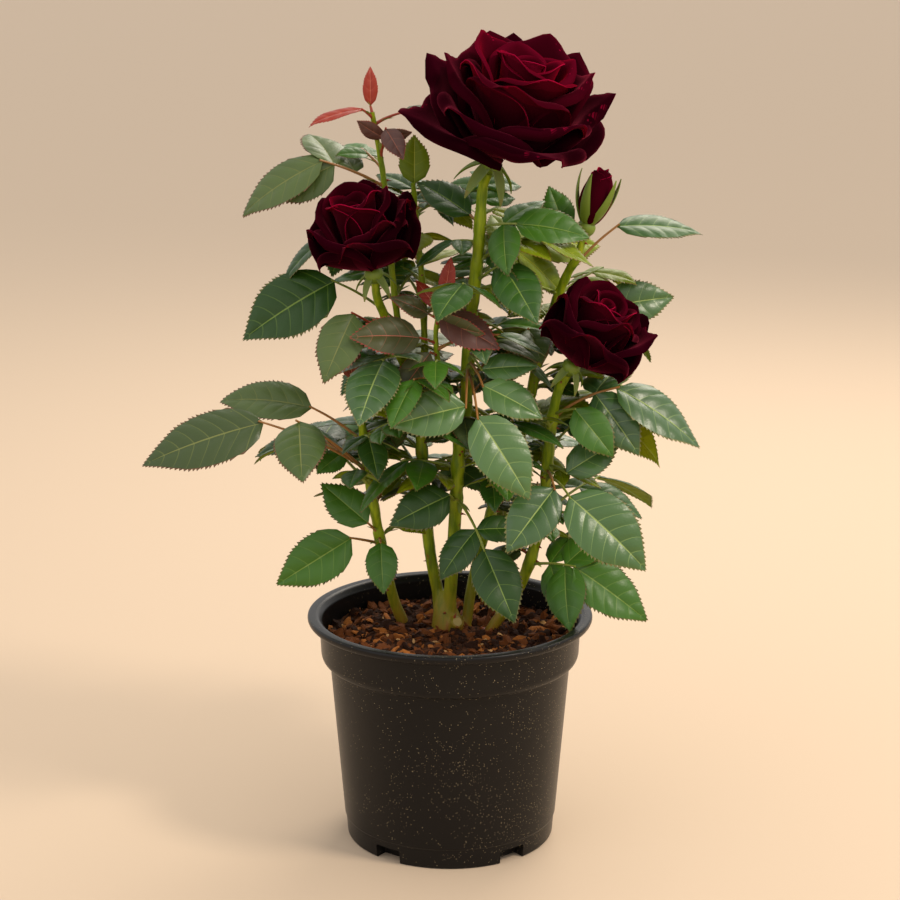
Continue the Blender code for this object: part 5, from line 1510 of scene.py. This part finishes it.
# composted bark: near-black crumbs that hold water, so the colour is deep and the gloss patchy
compost = newMaterial("barkCompost", compostLook["colour"], 0.9, {"Specular IOR Level": 0.2})
compostNodes = compost.node_tree
compostShader = compostNodes.nodes["Principled BSDF"]
compostSpot = addNode(compostNodes, "ShaderNodeTexCoord")
crumbs = addNode(compostNodes, "ShaderNodeTexNoise",
                 {"Scale": 1000 / compostLook["crumb"], "Detail": 6.0, "Roughness": 0.7},
                 {"Vector": compostSpot.outputs["Object"]})
earth = addNode(compostNodes, "ShaderNodeValToRGB", links={"Fac": crumbs.outputs[0]})
setRamp(earth, *zip((0.38, 0.74), compostLook["crumbColours"]))
compostNodes.links.new(earth.outputs["Color"], compostShader.inputs["Base Color"])
crumbRelief = addNode(compostNodes, "ShaderNodeBump", {"Distance": 0.0012}, {"Height": crumbs.outputs[0]})
compostNodes.links.new(crumbRelief.outputs["Normal"], compostShader.inputs["Normal"])


def compostHeight(x, y):
    far = math.hypot(x, y) / mouth
    at = Vector((x, y, 0.3))
    lumps = noise.noise(at * 95) * 0.5 + noise.noise(at * 210) * 0.35 + noise.noise(at * 430) * 0.22
    edge = min(1.0, (1 - far) * 14)
    return soilLevel - 0.0006 + compostLook["lump"] * lumps * (0.35 + 0.65 * edge)


# rings from the middle out over the top, then down inside the pot
reach = mouth - clearance
sides, rings = compostLook["sides"], compostLook["rings"]
soilFloor = pot["notchHeight"] + wall + 0.001
soilPoints = []
for ring in range(1, rings + 1):
    for point in ringPoints(reach * ring / rings, 0, sides):
        soilPoints.append(Vector((point.x, point.y, compostHeight(point.x, point.y))))
for radius, height in ((reach, collarFoot + 0.004), (bodyTop - wall - clearance * 2, collarFoot - 0.001),
                       (foot - wall - 0.0006, soilFloor)):
    soilPoints += ringPoints(radius, height, sides)
# wound the other way, since these rings run outwards and down
soilFaces = [face[:1] + face[:0:-1] for face in ringFaces(rings + 3, sides)]
centre = len(soilPoints)
soilPoints += [Vector((0, 0, compostHeight(0, 0))), Vector((0, 0, soilFloor))]
for side in range(sides):
    after = (side + 1) % sides
    soilFaces += [[centre, side, after], [centre + 1, centre - sides + after, centre - sides + side]]
soilPile = Pile()
soilPile.add((soilPoints, soilFaces))
finishPiece(soilPile.build("compost", [compost]), "bark_compost", "soil")


def chipShape(rng, long, flat):
    # a splinter of bark: a rough faceted block, longer than wide and flat
    block = bmesh.new()
    bmesh.ops.create_icosphere(block, subdivisions=2, radius=0.5)
    for vertex in block.verts:
        vertex.co *= rng.uniform(0.70, 1.20)
        vertex.co.x *= long
        vertex.co.z *= flat
    return blockShape(block)


def isBed(corner):
    # the open top of the compost, clear of the pot, is what carries chips
    onTop = corner < rings * sides or corner == centre
    return onTop and math.hypot(soilPoints[corner].x, soilPoints[corner].y) < reach * 0.98


bed = bpy.data.objects.new("bed", bpy.data.meshes.new("bed"))
bed.data.from_pydata([tuple(point) for point in soilPoints], [],
                     [face for face in soilFaces if all(isBed(corner) for corner in face)])
scene.collection.objects.link(bed)
chipLook = {
    # colour, chips a square metre, smallest and largest in metres, length, flatness, seed
    "darkChips": ("#2e170a", 24000, 0.0022, 0.0080, 1.3, 0.62, 31),
    "brownChips": ("#663716", 16000, 0.0026, 0.0095, 1.5, 0.50, 32),
    "tanChips": ("#a0602a", 6600, 0.0024, 0.0085, 1.6, 0.45, 33),
    "paleChips": ("#c89a64", 1700, 0.0020, 0.0060, 1.4, 0.50, 34),
}
chipPile = Pile()
chipMaterials = []
for chipName, (colour, density, small, large, long, flat, seed) in chipLook.items():
    # dry splinters of pine bark: matt, fibrous, each lot in its own brown
    finish = newMaterial(chipName, colour, 0.88, {"Specular IOR Level": 0.2}, (1.2, 0.35))
    chipRandom = random.Random(seed)
    for variant in range(2):
        chipSeed = hiddenShape("chipSeed", chipShape(chipRandom, long, flat), finish)
        chips = growOn(bed, chipSeed, finish, {"Density": density / 2, "Smallest": small, "Largest": large,
                                               "Tilt": 0.85, "Seed": seed + 10 * variant}, "chips")
        for vertex in chips.data.vertices:
            # none pokes through the pot
            far = math.hypot(vertex.co.x, vertex.co.y)
            if far > reach - 0.0003:
                vertex.co.x *= (reach - 0.0003) / far
                vertex.co.y *= (reach - 0.0003) / far
        chipPile.add(meshShape(chips.data), len(chipMaterials))
        bpy.data.objects.remove(chips)
        bpy.data.objects.remove(chipSeed)
    chipMaterials.append(finish)
bpy.data.objects.remove(bed)
finishPiece(chipPile.build("barkChips", chipMaterials, 25), "bark_compost")


print("done")
